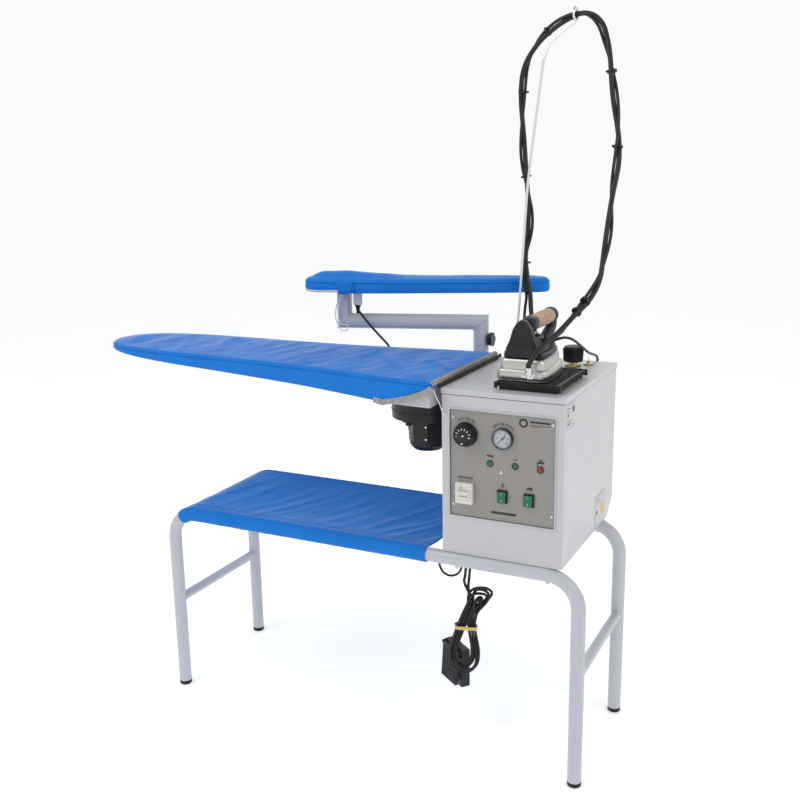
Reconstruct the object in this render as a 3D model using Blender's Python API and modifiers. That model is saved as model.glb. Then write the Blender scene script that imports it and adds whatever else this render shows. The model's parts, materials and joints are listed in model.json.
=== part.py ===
"""A professional ironing station: a bent-tube stand with a cloth shelf, a steam boiler cabinet, a
vacuum ironing board, a swinging sleeve board, a steam iron on its rest and a mast that holds the hose.

Lengths are in metres and +Z is up. Every sub-part is placed from the middle of the four legs, and the
empty called station_datum moves that point so that the origin is under the middle of the whole station.
"""

import math

import bmesh
import bpy
from mathutils import Matrix, Vector

DATUM = Vector((0.1297, -0.0607, 0.0))  # middle of the four legs
GAP = 0.0003  # clearance between neighbouring pieces
SHEET = 0.0015  # sheet metal

# Stand
TUBE_R = 0.01685
LEG_X = 0.566
LEG_Y = 0.181
RAIL_Z = 0.515
FRAME_BEND = 0.075
PLUG_HEIGHT = 0.012
BAR_R = 0.0125
LEFT_BAR_Z = 0.257
RIGHT_BAR_Z = 0.279
SHELF_X = (-0.489, 0.195)
SHELF_SAG = 0.014
SHELF_TOP = 0.0123  # cloth leaves the sleeves this far above the middle of the rails
CLOTH = 0.002

# Boiler cabinet
LID_X = (0.2344, 0.5276)
LID_Y = (-0.1878, 0.2451)
LID_Z = 0.9256
LID_LIP = 0.013
SHELL_INSET = 0.0018
CABINET_Z = 0.5325
CHAMFER_Y = 0.045
CHAMFER_Z = 0.042
WINDOW_X = (0.2555, 0.5075)
WINDOW_Z = (0.6255, 0.8800)
FLANGE = 0.0075
PANEL_Y = LID_Y[0] + SHELL_INSET + SHEET + GAP

# Control panel, as seen from the front: (x, z)
FACE_Y = PANEL_Y - GAP
KNOB = (0.2956, 0.8227)
GAUGE = (0.3845, 0.8218)
GAUGE_R = 0.0245
GAUGE_ZERO = math.radians(135.0)
LAMPS = (("left", 0.3539, 0.7601, 0.0062, "green_lamp"), ("middle", 0.4134, 0.7604, 0.0062, "green_lamp"),
         ("right", 0.4726, 0.7596, 0.0066, "red_lamp"))
BREAKER = (0.2935, 0.6840)
BREAKER_AXLE = 0.0085
LEVER_UP = math.radians(18.0)
ROCKERS = (("left", 0.3844, 0.6862), ("right", 0.4471, 0.6854))
ROCKER_AXLE = 0.0065
ROCKER_TILT = math.radians(8.0)

# Boiler and the fittings on the cabinet, as seen from above: (x, y)
TANK = (0.400, 0.100)
TANK_R = 0.098
TANK_Z = (0.600, 0.860)
DRAIN_R = 0.020
FILLER = (0.438, 0.161)
FILLER_TOP = 0.9378
SAFETY_VALVE = (0.4690, 0.1890)
STEAM_OUTLET = (0.3275, 0.2050)
STEAM_VALVE = (0.3520, 0.1500)
REAR_GLAND = (0.4670, 0.9000)  # (x, z)

# Ironing board
HEEL_X = 0.2285
BOARD_Y = -0.020
BOARD_Z = 0.944
BOARD_TILT = 0.0075
BOARD_HALF = ((0.2285, 0.200), (0.120, 0.196), (0.0, 0.178), (-0.160, 0.157), (-0.360, 0.146),
              (-0.560, 0.140), (-0.690, 0.126), (-0.780, 0.096), (-0.826, 0.055), (-0.843, 0.0))
PAD = 0.014
PLENUM_INSET = 0.012
PLENUM_Z = 0.880
SLOPE_X = 0.1115
SLOPE = 0.0425
HEM_X = 0.096
HEM_Z = 0.885
HEM_SLOPE = 0.256
FAN_X = 0.1290
FAN_Y = -0.030
FAN_R = 0.0890
FAN_Z = 0.8155
MOTOR_R = 0.0460
MOTOR_Z = 0.7323
SUCTION_R = 0.060

# Sleeve board
POST = Vector((0.1630, 0.2350, 0.0))
ARM_R = 0.0205
ARM_Z = 1.0095
ARM_LENGTH = 0.370
ARM_ANGLE = math.radians(195.5)
ARM_BOTTOM = 0.905
PIN_R = 0.0180
PIN_Z = (0.815, 0.9850)
SLEEVE_ANGLE = math.radians(19.5)
SLEEVE_HALF = ((-0.102, 0.0), (-0.097, 0.026), (-0.076, 0.047), (-0.035, 0.058), (0.100, 0.058),
               (0.300, 0.051), (0.450, 0.043), (0.515, 0.033), (0.539, 0.016), (0.544, 0.0))
SLEEVE_Z = 1.0930
SLEEVE_BASE = 0.008
SLEEVE_PAD = 0.037
SLEEVE_PLUG = (-0.1430, 0.1180)
CLAMP_Z = 0.9650

# Iron
IRON_X = 0.4080
IRON_HALF = ((-0.143, 0.044), (-0.1385, 0.0545), (-0.115, 0.0600), (-0.065, 0.0600), (-0.020, 0.0550),
             (0.015, 0.0450), (0.045, 0.0310), (0.066, 0.0150), (0.0750, 0.0))
REST_X = (0.3555, 0.5030)
REST_Y = (-0.1560, 0.0480)
REST_Z = 0.9450
SOLE = 0.012
LOWER_TIER = 0.9715
UPPER_TIER = 0.9965
SHIELD = ((0.0400, 0.9975), (0.0385, 1.0080), (0.0365, 1.0190), (0.0290, 1.0340), (0.0215, 1.0600),
          (0.0130, 1.0740), (0.0040, 1.0810))
SHIELD_Y = (-0.1350, -0.0500)
HANDLE_Z = 1.0660
GRIP_R = 0.0170
GRIP_Y = (-0.0640, 0.0570)
COLLAR_Y = -0.1190
FRONT_POST = ((-0.0140, 1.0083), (0.0500, 1.0083), (0.0660, 1.0250), (0.0850, 1.0480), (0.0950, 1.0640),
              (0.0950, 1.0750), (0.0880, 1.0830), (0.0740, 1.0865), (0.0575, 1.0850), (0.0575, 1.0490),
              (0.0340, 1.0480), (0.0160, 1.0420), (0.0020, 1.0320))
STEAM_BUTTON = Vector((0.4080, -0.0320, 1.0360))
ELBOW = Vector((0.4345, -0.1635, 0.9620))

# Mast and hoses
MAST_R = 0.0034
MAST_Y = 0.222
MAST = ((0.2675, 0.9282), (0.2675, 0.9580), (0.2690, 0.9900), (0.2718, 1.0350), (0.2799, 1.1735),
        (0.2857, 1.2605), (0.2936, 1.3763), (0.3112, 1.5197), (0.3290, 1.6600), (0.3330, 1.6830),
        (0.3550, 1.7040), (0.3900, 1.7330), (0.4059, 1.7412))
RING = Vector((0.4059, 0.2220, 1.7570))
RING_R = 0.0158
RING_WIRE = 0.0030
HOSE_R = 0.0060
CABLE_R = 0.00375
RETURN_CABLE_R = 0.00325
PEDAL_CORD_R = 0.0035
TWIST_PITCH = 0.336
HOSE_START = ((0.3275, 0.205, 0.9520), (0.3275, 0.205, 0.9750), (0.3180, 0.213, 1.0050),
              (0.3050, 0.226, 1.0450))
CABLE_START = ((0.2990, 0.203, 0.9275), (0.2990, 0.203, 0.9500), (0.2950, 0.208, 0.9850),
               (0.2890, 0.219, 1.0200), (0.2870, 0.229, 1.0520))
BUNDLE = ((0.2943, 0.234, 1.0873), (0.2857, 0.238, 1.1200), (0.2816, 0.242, 1.1847), (0.2889, 0.244, 1.2239),
          (0.2932, 0.244, 1.2817), (0.2860, 0.242, 1.3488), (0.2783, 0.240, 1.3956), (0.2734, 0.239, 1.4420),
          (0.2712, 0.238, 1.5023), (0.2715, 0.237, 1.5800), (0.2773, 0.235, 1.6368), (0.2914, 0.232, 1.6706),
          (0.3169, 0.229, 1.7067), (0.3584, 0.225, 1.7386), (0.4059, 0.222, 1.7570), (0.4330, 0.220, 1.7560),
          (0.4560, 0.217, 1.7430), (0.4728, 0.214, 1.7204), (0.4838, 0.211, 1.6885), (0.4947, 0.207, 1.6544),
          (0.5046, 0.200, 1.6100), (0.5128, 0.190, 1.5746), (0.5293, 0.168, 1.4929), (0.5344, 0.148, 1.4231),
          (0.5330, 0.122, 1.3515), (0.5366, 0.095, 1.2849), (0.5373, 0.072, 1.2343), (0.5333, 0.035, 1.1650),
          (0.5228, 0.010, 1.1312), (0.5110, -0.018, 1.1065), (0.4985, -0.048, 1.0850))
HOSE_END = ((0.4860, -0.070, 1.0640), (0.4740, -0.096, 1.0470), (0.4620, -0.122, 1.0330),
            (0.4500, -0.146, 1.0190), (0.4390, -0.160, 1.0040), (0.4345, -0.1635, 0.9900),
            (0.4345, -0.1635, 0.9765))
CABLE_END = ((0.4830, -0.040, 1.0640), (0.4700, -0.046, 1.0440), (0.4500, -0.050, 1.0280),
             (0.4340, -0.050, 1.0230), (0.4210, -0.050, 1.0220))
RETURN_CABLE = ((0.4670, 0.2640, 0.9000), (0.4670, 0.2760, 0.9010), (0.4670, 0.2830, 0.9120),
                (0.4675, 0.2760, 0.9290), (0.4680, 0.2500, 0.9400), (0.4700, 0.1900, 0.9560),
                (0.4750, 0.1200, 0.9800), (0.4790, 0.0500, 1.0060), (0.4790, 0.0000, 1.0230),
                (0.4700, -0.0250, 1.0290), (0.4520, -0.0340, 1.0240), (0.4350, -0.0350, 1.0160),
                (0.4210, -0.0350, 1.0140))

# Foot pedal and its cord
CABLE_BLOCK = (Vector((0.2480, -0.1300, 0.5180)), Vector((0.2920, -0.1080, 0.5320)))
PEDAL_CORD = ((0.2690, -0.1190, 0.5175), (0.2690, -0.1190, 0.4950), (0.2665, -0.1195, 0.4600),
              (0.2635, -0.1200, 0.4300), (0.2640, -0.1205, 0.4050))
FAN_CABLE = ((0.1764, -0.0300, 0.7500), (0.1860, -0.0300, 0.7485), (0.2040, -0.0300, 0.7250),
             (0.2140, -0.0300, 0.6900), (0.2160, -0.0320, 0.6200), (0.2140, -0.0450, 0.5500),
             (0.2060, -0.0800, 0.4950), (0.2060, -0.1080, 0.4660), (0.2200, -0.1200, 0.4520),
             (0.2360, -0.1230, 0.4480), (0.2500, -0.1220, 0.4540), (0.2560, -0.1200, 0.4700),
             (0.2580, -0.1190, 0.4950), (0.2580, -0.1190, 0.5175))
FAN_CABLE_R = 0.0028
HANK = Vector((0.2688, -0.1200, 0.3110))
HANK_YAW = math.radians(26.6)
HANK_DEPTH = 0.034
HANK_OUTLINE = ((-0.0050, -0.1200), (0.0220, -0.1080), (0.0320, -0.0660), (0.0245, 0.0), (0.0245, 0.0150),
                (0.0320, 0.0440), (0.0560, 0.0686), (0.0640, 0.0930), (0.0370, 0.1100), (0.0070, 0.1030),
                (0.0025, 0.0735), (-0.0100, 0.0440), (-0.0270, 0.0), (-0.0465, -0.0660), (-0.0330, -0.1060))
PEDAL = Vector((0.2195, -0.0620, 0.1820))
PEDAL_YAW = math.radians(-37.0)
PEDAL_SIZE = (0.084, 0.024, 0.100)
PEDAL_TRAVEL = math.radians(4.0)

SLEEVE_CABLE = ((-0.1430, 0.1180, 1.0545), (-0.1400, 0.1160, 1.0430), (-0.1240, 0.1140, 1.0250),
                (-0.1040, 0.1190, 1.0000), (-0.0890, 0.1420, 0.9700), (-0.0790, 0.1700, 0.9400),
                (-0.0740, 0.1780, 0.9100), (-0.0650, 0.1700, 0.8800), (-0.0400, 0.1530, 0.8650),
                (0.0, 0.1350, 0.8600), (0.0400, 0.1180, 0.8600), (0.0700, 0.1020, 0.8640),
                (0.0860, 0.0920, 0.8700), (0.0880, 0.0900, 0.8795))
SLEEVE_CABLE_R = 0.0030

UPRIGHT = (math.pi / 2, 0.0, 0.0)  # local Z points to the front, -Y
SIDEWAYS = (math.pi / 2, 0.0, math.pi / 2)  # local Z points to the right, +X
TO_THE_RIGHT = (0.0, math.pi / 2, 0.0)

COLOURS = {
    "tube_paint": ((0.80, 0.81, 0.83), 0.35, 0.0),
    "white_sheet": ((0.78, 0.79, 0.80), 0.40, 0.0),
    "panel_grey": ((0.42, 0.40, 0.37), 0.50, 0.0),
    "black_plastic": ((0.02, 0.02, 0.022), 0.45, 0.0),
    "black_rubber": ((0.03, 0.03, 0.032), 0.80, 0.0),
    "blue_fabric": ((0.05, 0.20, 0.66), 0.90, 0.0),
    "steel": ((0.55, 0.54, 0.52), 0.30, 1.0),
    "aluminium": ((0.70, 0.70, 0.70), 0.40, 1.0),
    "brass": ((0.72, 0.55, 0.25), 0.30, 1.0),
    "cork": ((0.62, 0.45, 0.33), 0.85, 0.0),
    "cream_plastic": ((0.80, 0.78, 0.68), 0.45, 0.0),
    "green_lamp": ((0.05, 0.55, 0.15), 0.20, 0.0),
    "red_lamp": ((0.75, 0.04, 0.03), 0.20, 0.0),
}


def clear_scene():
    for old in list(bpy.data.objects):
        bpy.data.objects.remove(old)


def collection(name):
    made = bpy.data.collections.new(name)
    bpy.context.scene.collection.children.link(made)
    return made


def make_material(name):
    colour, roughness, metallic = COLOURS[name]
    made = bpy.data.materials.new(name)
    made.use_nodes = True
    shader = made.node_tree.nodes["Principled BSDF"]
    shader.inputs["Base Color"].default_value = (*colour, 1.0)
    shader.inputs["Roughness"].default_value = roughness
    shader.inputs["Metallic"].default_value = metallic
    return made


clear_scene()
PARTS = collection("ironing_station")
CUTTERS = collection("cutters")
MATERIALS = {name: make_material(name) for name in COLOURS}


def empty(name, location, rotation=(0.0, 0.0, 0.0), parent=None):
    made = bpy.data.objects.new(name, None)
    made.location = location
    made.rotation_euler = rotation
    made.parent = parent
    PARTS.objects.link(made)
    return made


STATION = empty("station_datum", DATUM)


def place(name, data, material, location=(0.0, 0.0, 0.0), rotation=(0.0, 0.0, 0.0), parent=None):
    """Puts a mesh or curve into the model. Without a material it is a cutter, drawn as a wire."""
    made = bpy.data.objects.new(name, data)
    made.location = location
    made.rotation_euler = rotation
    made.parent = parent or STATION
    if material:
        data.materials.append(MATERIALS[material])
        PARTS.objects.link(made)
    else:
        made.hide_render = True
        made.display_type = "WIRE"
        CUTTERS.objects.link(made)
    return made


def mesh_of(name, bm):
    mesh = bpy.data.meshes.new(name)
    bm.to_mesh(mesh)
    bm.free()
    return mesh


def box(name, low, high, material, parent=None, bevel=0.0, rotation=(0.0, 0.0, 0.0), pivot=None):
    """A block between two corners, with its origin in its middle or on pivot."""
    low, high = Vector(low), Vector(high)
    pivot = Vector(pivot) if pivot else (low + high) / 2
    bm = bmesh.new()
    bmesh.ops.create_cube(bm, size=1.0)
    bmesh.ops.scale(bm, vec=high - low, verts=bm.verts)
    bmesh.ops.translate(bm, vec=(low + high) / 2 - pivot, verts=bm.verts)
    made = place(name, mesh_of(name, bm), material, pivot, rotation, parent)
    if bevel:
        edge = made.modifiers.new("edge", "BEVEL")
        edge.width = bevel
        edge.segments = 2
    return made


def rod(name, start, end, radius, material, parent=None, sides=24):
    """A straight round bar between two points."""
    start, end = Vector(start), Vector(end)
    along = end - start
    bm = bmesh.new()
    bmesh.ops.create_cone(bm, cap_ends=True, segments=sides, radius1=radius, radius2=radius,
                          depth=along.length)
    turn = along.to_track_quat("Z", "Y").to_euler()
    return place(name, mesh_of(name, bm), material, (start + end) / 2, turn, parent)


def turned(name, profile, material, location, rotation=(0.0, 0.0, 0.0), steps=24, parent=None):
    """A profile of (radius, height), top to bottom down its outer side, turned round the local Z axis."""
    mesh = bpy.data.meshes.new(name)
    edges = [(i, i + 1) for i in range(len(profile) - 1)]
    if profile[0][0] > 0.0:
        edges.append((len(profile) - 1, 0))
    mesh.from_pydata([(radius, 0.0, height) for radius, height in profile], edges, [])
    made = place(name, mesh, material, location, rotation, parent)
    screw = made.modifiers.new("turn", "SCREW")
    screw.steps = steps
    screw.render_steps = steps
    screw.use_merge_vertices = True
    screw.merge_threshold = 0.00001
    return made


def tube(name, points, radius, material, resolution=2, parent=None):
    """A round tube along points."""
    curve = bpy.data.curves.new(name, "CURVE")
    curve.dimensions = "3D"
    spline = curve.splines.new("POLY")
    spline.points.add(len(points) - 1)
    for point, where in zip(spline.points, points):
        point.co = (*where, 1.0)
    curve.bevel_depth = radius
    curve.bevel_resolution = resolution
    curve.use_fill_caps = True
    return place(name, curve, material, parent=parent)


def plate(name, outlines, thickness, material, location=(0.0, 0.0, 0.0), rotation=(0.0, 0.0, 0.0), parent=None):
    """A flat piece: the first outline is its edge and the others are holes, centred on its thickness."""
    curve = bpy.data.curves.new(name, "CURVE")
    curve.dimensions = "2D"
    curve.fill_mode = "BOTH"
    curve.extrude = thickness / 2
    for outline in outlines:
        spline = curve.splines.new("POLY")
        spline.points.add(len(outline) - 1)
        spline.use_cyclic_u = True
        for point, (x, y) in zip(spline.points, outline):
            point.co = (x, y, 0.0, 1.0)
    return place(name, curve, material, location, rotation, parent)


def meshed(source):
    """The same piece as a mesh with its caps welded, so that it can be cut, joined or be a cutter."""
    bpy.context.view_layer.update()
    evaluated = source.evaluated_get(bpy.context.evaluated_depsgraph_get())
    mesh = bpy.data.meshes.new_from_object(evaluated)
    bm = bmesh.new()
    bm.from_mesh(mesh)
    bmesh.ops.remove_doubles(bm, verts=bm.verts, dist=0.00001)
    bm.to_mesh(mesh)
    bm.free()
    name = source.name
    matrix = source.matrix_world.copy()
    parent = source.parent
    home = source.users_collection[0]
    is_cutter = source.hide_render
    bpy.data.objects.remove(source)
    made = bpy.data.objects.new(name, mesh)
    home.objects.link(made)
    made.parent = parent
    made.matrix_world = matrix
    if is_cutter:
        made.hide_render = True
        made.display_type = "WIRE"
    return made


def boolean(target, tool, operation):
    step = target.modifiers.new(operation.lower(), "BOOLEAN")
    step.operation = operation
    step.object = tool


def cut(target, *tools):
    for tool in tools:
        boolean(target, tool, "DIFFERENCE")


def join(target, *tools):
    for tool in tools:
        boolean(target, tool, "UNION")


def arc(centre, radius, start, end, steps):
    """Points on a flat arc, angles in degrees."""
    angles = [math.radians(start + (end - start) * i / steps) for i in range(steps + 1)]
    return [(centre[0] + radius * math.cos(a), centre[1] + radius * math.sin(a)) for a in angles]


def smooth(route, spacing, most=78):
    """Evenly spaced points on the smooth curve through a route's own points."""
    route = [Vector(p) for p in route]
    ends = [2 * route[0] - route[1]] + route + [2 * route[-1] - route[-2]]
    fine = []
    for a, b, c, d in zip(ends, ends[1:], ends[2:], ends[3:]):
        for i in range(12):
            t = i / 12
            fine.append(0.5 * (2 * b + (c - a) * t + (2 * a - 5 * b + 4 * c - d) * t * t
                               + (3 * b - a - 3 * c + d) * t ** 3))
    fine.append(route[-1])
    lengths = [0.0]
    for a, b in zip(fine, fine[1:]):
        lengths.append(lengths[-1] + (b - a).length)
    count = min(most, max(2, round(lengths[-1] / spacing)))
    points = []
    at = 0
    for i in range(count + 1):
        want = lengths[-1] * i / count
        while at < len(fine) - 2 and lengths[at + 1] < want:
            at += 1
        share = (want - lengths[at]) / (lengths[at + 1] - lengths[at])
        points.append(fine[at].lerp(fine[at + 1], min(1.0, max(0.0, share))))
    return points


def twisted(route, offset, phase):
    """A route that winds round another one at a distance, as two strands of a bundle do."""
    points = smooth(route, 0.030)
    side = Vector((0.0, 1.0, 0.0))
    wound = []
    walked = 0.0
    for i, point in enumerate(points):
        ahead = points[min(i + 1, len(points) - 1)] - points[max(i - 1, 0)]
        ahead.normalize()
        side = (side - ahead * side.dot(ahead)).normalized()
        angle = phase + 2 * math.pi * walked / TWIST_PITCH
        wound.append(point + Matrix.Rotation(angle, 3, ahead) @ side * offset)
        if i + 1 < len(points):
            walked += (points[i + 1] - point).length
    return wound


def distance_to(outline, point):
    """How far a point is from the nearest side of an outline."""
    nearest = []
    for a, b in zip(outline, outline[1:] + outline[:1]):
        start = Vector(a)
        side = Vector(b) - start
        share = min(1.0, max(0.0, (point - start).dot(side) / side.length_squared))
        nearest.append((start + side * share - point).length)
    return min(nearest)


def inset(outline, distance):
    """A counterclockwise outline moved inwards, without the corners that would cross at a narrow end."""
    moved = []
    count = len(outline)
    for i in range(count):
        before = Vector(outline[i - 1])
        here = Vector(outline[i])
        after = Vector(outline[(i + 1) % count])
        first = (here - before).normalized()
        second = (after - here).normalized()
        normal = Vector((-first.y, first.x)) + Vector((-second.y, second.x))
        normal.normalize()
        reach = distance / max(0.5, normal.dot(Vector((-first.y, first.x))))
        moved.append(here + normal * reach)
    return [tuple(point) for point in moved if distance_to(outline, point) > 0.96 * distance]


# Stand


def stand():
    foot = PLUG_HEIGHT + GAP
    left = arc((-LEG_X + FRAME_BEND, RAIL_Z - FRAME_BEND), FRAME_BEND, 180, 90, 8)
    right = arc((LEG_X - FRAME_BEND, RAIL_Z - FRAME_BEND), FRAME_BEND, 90, 0, 8)
    line = [(-LEG_X, foot)] + left + right + [(LEG_X, foot)]
    for y, row in ((-LEG_Y, "front"), (LEG_Y, "rear")):
        tube(f"{row}_tube_frame", [(x, y, z) for x, z in line], TUBE_R, "tube_paint", resolution=6)
        for x, end in ((-LEG_X, "left"), (LEG_X, "right")):
            turned(f"foot_plug_{row}_{end}",
                   [(0, PLUG_HEIGHT), (TUBE_R, PLUG_HEIGHT), (TUBE_R, 0.003), (TUBE_R - 0.003, 0), (0, 0)],
                   "black_rubber", (x, y, 0), steps=20)
    for x, z, end in ((-LEG_X, LEFT_BAR_Z, "left"), (LEG_X, RIGHT_BAR_Z, "right")):
        bar = rod(f"side_bar_{end}", (x, -LEG_Y, z), (x, LEG_Y, z), BAR_R, "tube_paint", sides=20)
        for y, row in ((-LEG_Y, "front"), (LEG_Y, "rear")):
            cut(bar, rod(f"cope_{row}_{end}", (x, y, z - 0.03), (x, y, z + 0.03), TUBE_R + GAP, None, sides=32))


def shelf():
    """A cloth sling whose front and rear edges are sleeves round the rails."""
    inner = TUBE_R + 0.0005
    outer = inner + CLOTH
    above = math.degrees(math.asin(SHELF_TOP / outer))
    below = math.degrees(math.asin((SHELF_TOP - CLOTH) / outer))
    reach = LEG_Y - outer
    steps = [i / 10 for i in range(11)]
    upper = [(reach * (2 * t - 1), RAIL_Z + SHELF_TOP - SHELF_SAG * 4 * t * (1 - t)) for t in steps]
    lower = [(y, z - CLOTH) for y, z in upper]
    outline = arc((-LEG_Y, RAIL_Z), outer, above, 360 + below, 22) + lower
    outline += arc((LEG_Y, RAIL_Z), outer, 180 - below, 540 - above, 22) + upper[::-1]
    holes = [arc((y, RAIL_Z), inner, 0, 345, 23) for y in (-LEG_Y, LEG_Y)]
    plate("shelf_sling", [outline] + holes, SHELF_X[1] - SHELF_X[0], "blue_fabric",
          ((SHELF_X[0] + SHELF_X[1]) / 2, 0, 0), SIDEWAYS)


# Boiler cabinet


def cabinet_side(margin, top, bottom):
    """The cabinet seen from its side, with the slanted corner at the lower rear."""
    front = LID_Y[0] + SHELL_INSET + margin
    back = LID_Y[1] - SHELL_INSET - margin
    knee = CABINET_Z + CHAMFER_Z + 0.44 * margin
    foot = back - (knee - bottom) * CHAMFER_Y / CHAMFER_Z
    return [(front, bottom), (foot, bottom), (back, knee), (back, top), (front, top)]


def cabinet():
    left, right = LID_X[0] + SHELL_INSET, LID_X[1] - SHELL_INSET
    middle = (left + right) / 2
    top = LID_Z - SHEET - GAP
    shell = meshed(plate("cabinet_shell", [cabinet_side(0, top, CABINET_Z)], right - left, "white_sheet",
                         (middle, 0, 0), SIDEWAYS))
    hollow = meshed(plate("cabinet_hollow", [cabinet_side(SHEET, top + 0.01, CABINET_Z - 0.01)],
                          right - left - 2 * SHEET, None, (middle, 0, 0), SIDEWAYS))
    window = box("cabinet_window", (WINDOW_X[0], LID_Y[0] - 0.02, WINDOW_Z[0]),
                 (WINDOW_X[1], LID_Y[0] + 0.02, WINDOW_Z[1]), None)
    cut(shell, hollow, window)

    box("cabinet_base", (left + SHEET + GAP, LID_Y[0] + SHELL_INSET + SHEET + GAP, CABINET_Z),
        (right - SHEET - GAP, LID_Y[1] - SHELL_INSET - CHAMFER_Y - 0.004, CABINET_Z + 0.003), "white_sheet")

    wall = SHELL_INSET - GAP
    lid = box("cabinet_top", (LID_X[0], LID_Y[0], LID_Z - LID_LIP), (LID_X[1], LID_Y[1], LID_Z), "white_sheet")
    inside = box("lid_inside", (LID_X[0] + wall, LID_Y[0] + wall, LID_Z - LID_LIP - 0.01),
                 (LID_X[1] - wall, LID_Y[1] - wall, LID_Z - SHEET), None)
    neck_hole = rod("neck_hole", (*FILLER, LID_Z - 0.01), (*FILLER, LID_Z + 0.01), 0.0118, None)
    cut(lid, inside, neck_hole)

    box("control_panel", (WINDOW_X[0] - FLANGE, PANEL_Y, WINDOW_Z[0] - FLANGE),
        (WINDOW_X[1] + FLANGE, PANEL_Y + SHEET, WINDOW_Z[1] + FLANGE), "panel_grey")


def controls():
    turned("thermostat_knob",
           [(0, 0.021), (0.0165, 0.021), (0.0185, 0.019), (0.0200, 0.006), (0.0278, 0.0045), (0.0285, 0.0005),
            (0, 0.0005)],
           "black_plastic", (KNOB[0], FACE_Y, KNOB[1]), UPRIGHT, steps=32)
    turned("gauge_body",
           [(0, 0.0045), (GAUGE_R - 0.003, 0.0045), (GAUGE_R - 0.003, 0.0095), (GAUGE_R - 0.0005, 0.0095),
            (GAUGE_R, 0.008), (GAUGE_R, 0), (0, 0)],
           "black_plastic", (GAUGE[0], FACE_Y, GAUGE[1]), UPRIGHT, steps=32)
    pointer = arc((0, 0), 0.0026, 20, 160, 5) + [(-0.0065, 0.0008), (-0.0065, -0.0008)]
    pointer += arc((0, 0), 0.0026, 200, 340, 5) + [(0.0180, -0.0003), (0.0180, 0.0003)]
    plate("gauge_needle", [pointer], 0.0008, "black_plastic", (GAUGE[0], FACE_Y - 0.0056, GAUGE[1]),
          (math.pi / 2, GAUGE_ZERO, 0))
    for name, x, z, radius, material in LAMPS:
        turned(f"lamp_{name}",
               [(0, 0.0042), (radius * 0.6, 0.0036), (radius * 0.8, 0.0015), (radius, 0.0012), (radius, 0), (0, 0)],
               material, (x, FACE_Y, z), UPRIGHT, steps=16)
    breaker()
    for name, x, z in ROCKERS:
        rocker(name, x, z)


def breaker():
    x, z = BREAKER
    y = FACE_Y - BREAKER_AXLE
    body = box("breaker_body", (x - 0.0205, FACE_Y - 0.0120, z - 0.0245), (x + 0.0205, FACE_Y, z + 0.0245),
               "cream_plastic")
    cut(body, rod("breaker_pocket", (x - 0.0085, y, z), (x + 0.0085, y, z), 0.0068, None, sides=32))
    hub = rod("breaker_lever", (x - 0.008, y, z), (x + 0.008, y, z), 0.0063, "black_plastic", sides=24)
    toggle = box("lever_toggle", (x - 0.008, y - 0.0135, z - 0.002), (x + 0.008, y - 0.003, z + 0.002), None,
                 rotation=(-LEVER_UP, 0, 0), pivot=(x, y, z))
    join(hub, toggle)


def rocker(name, x, z):
    """The key of a rocker switch, which pivots on a level axle in front of the panel. Its top is pressed."""
    side = [(0.0042, -0.0122), (0.0042, 0.0122), (-0.0040, 0.0122), (-0.0022, 0.0), (-0.0040, -0.0122)]
    turn = Matrix.Rotation(-ROCKER_TILT, 2)
    plate(f"rocker_{name}", [[tuple(turn @ Vector(point)) for point in side]], 0.0190, "green_lamp",
          (x, FACE_Y - ROCKER_AXLE, z), SIDEWAYS)


def boiler():
    wall = 0.002
    corner = 0.012
    low, high = TANK_Z
    tank = turned("boiler_tank",
                  [(0, high), (TANK_R - corner, high), (TANK_R, high - corner), (TANK_R, low + corner),
                   (TANK_R - corner, low), (DRAIN_R, low), (DRAIN_R, low + wall),
                   (TANK_R - corner - wall / 2, low + wall), (TANK_R - wall, low + corner + wall / 2),
                   (TANK_R - wall, high - corner - wall / 2), (TANK_R - corner - wall / 2, high - wall),
                   (0, high - wall)],
                  "steel", (*TANK, 0), steps=32)
    cut(tank, rod("filler_hole", (*FILLER, high - 0.01), (*FILLER, high + 0.01), 0.0078, None))

    leg = 0.010
    line = [(-leg, low - 0.012)] + arc((0, low + 0.080), leg, 180, 0, 8) + [(leg, low - 0.012)]
    hairpin = meshed(tube("heating_element", [(TANK[0] + x, TANK[1], z) for x, z in line], 0.004, "steel"))
    join(hairpin, rod("element_flange", (*TANK, low - 0.009), (*TANK, low - GAP), 0.027, None))

    turned("filler_neck",
           [(0.0110, FILLER_TOP), (0.0110, high + GAP), (0.0078, high + GAP), (0.0078, FILLER_TOP)],
           "brass", (*FILLER, 0), steps=24)
    turned("filler_cap",
           [(0, 0.0387), (0.0205, 0.0387), (0.0222, 0.0372), (0.0238, 0.0005), (0.0074, 0.0005),
            (0.0074, -0.0148), (0, -0.0148)],
           "black_plastic", (*FILLER, FILLER_TOP), steps=32)
    turned("safety_valve",
           [(0, 0.0110), (0.0035, 0.0110), (0.0035, 0.0045), (0.0090, 0.0045), (0.0095, GAP), (0, GAP)],
           "brass", (*SAFETY_VALVE, LID_Z), steps=16)

    x, y = STEAM_VALVE
    floor = high + GAP
    valve = box("solenoid_valve", (x - 0.016, y - 0.016, floor), (x + 0.016, y + 0.016, floor + 0.024), "brass")
    coil = rod("valve_coil", (x, y, floor + 0.020), (x, y, floor + 0.052), 0.013, None)
    pipe = meshed(tube("valve_pipe", [(x, y, floor + 0.012), (*STEAM_OUTLET, floor + 0.012),
                                      (*STEAM_OUTLET, LID_Z - SHEET - 0.001)], 0.004, None))
    join(valve, coil, pipe)


# Mast, hose fittings, hose and cables


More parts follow.
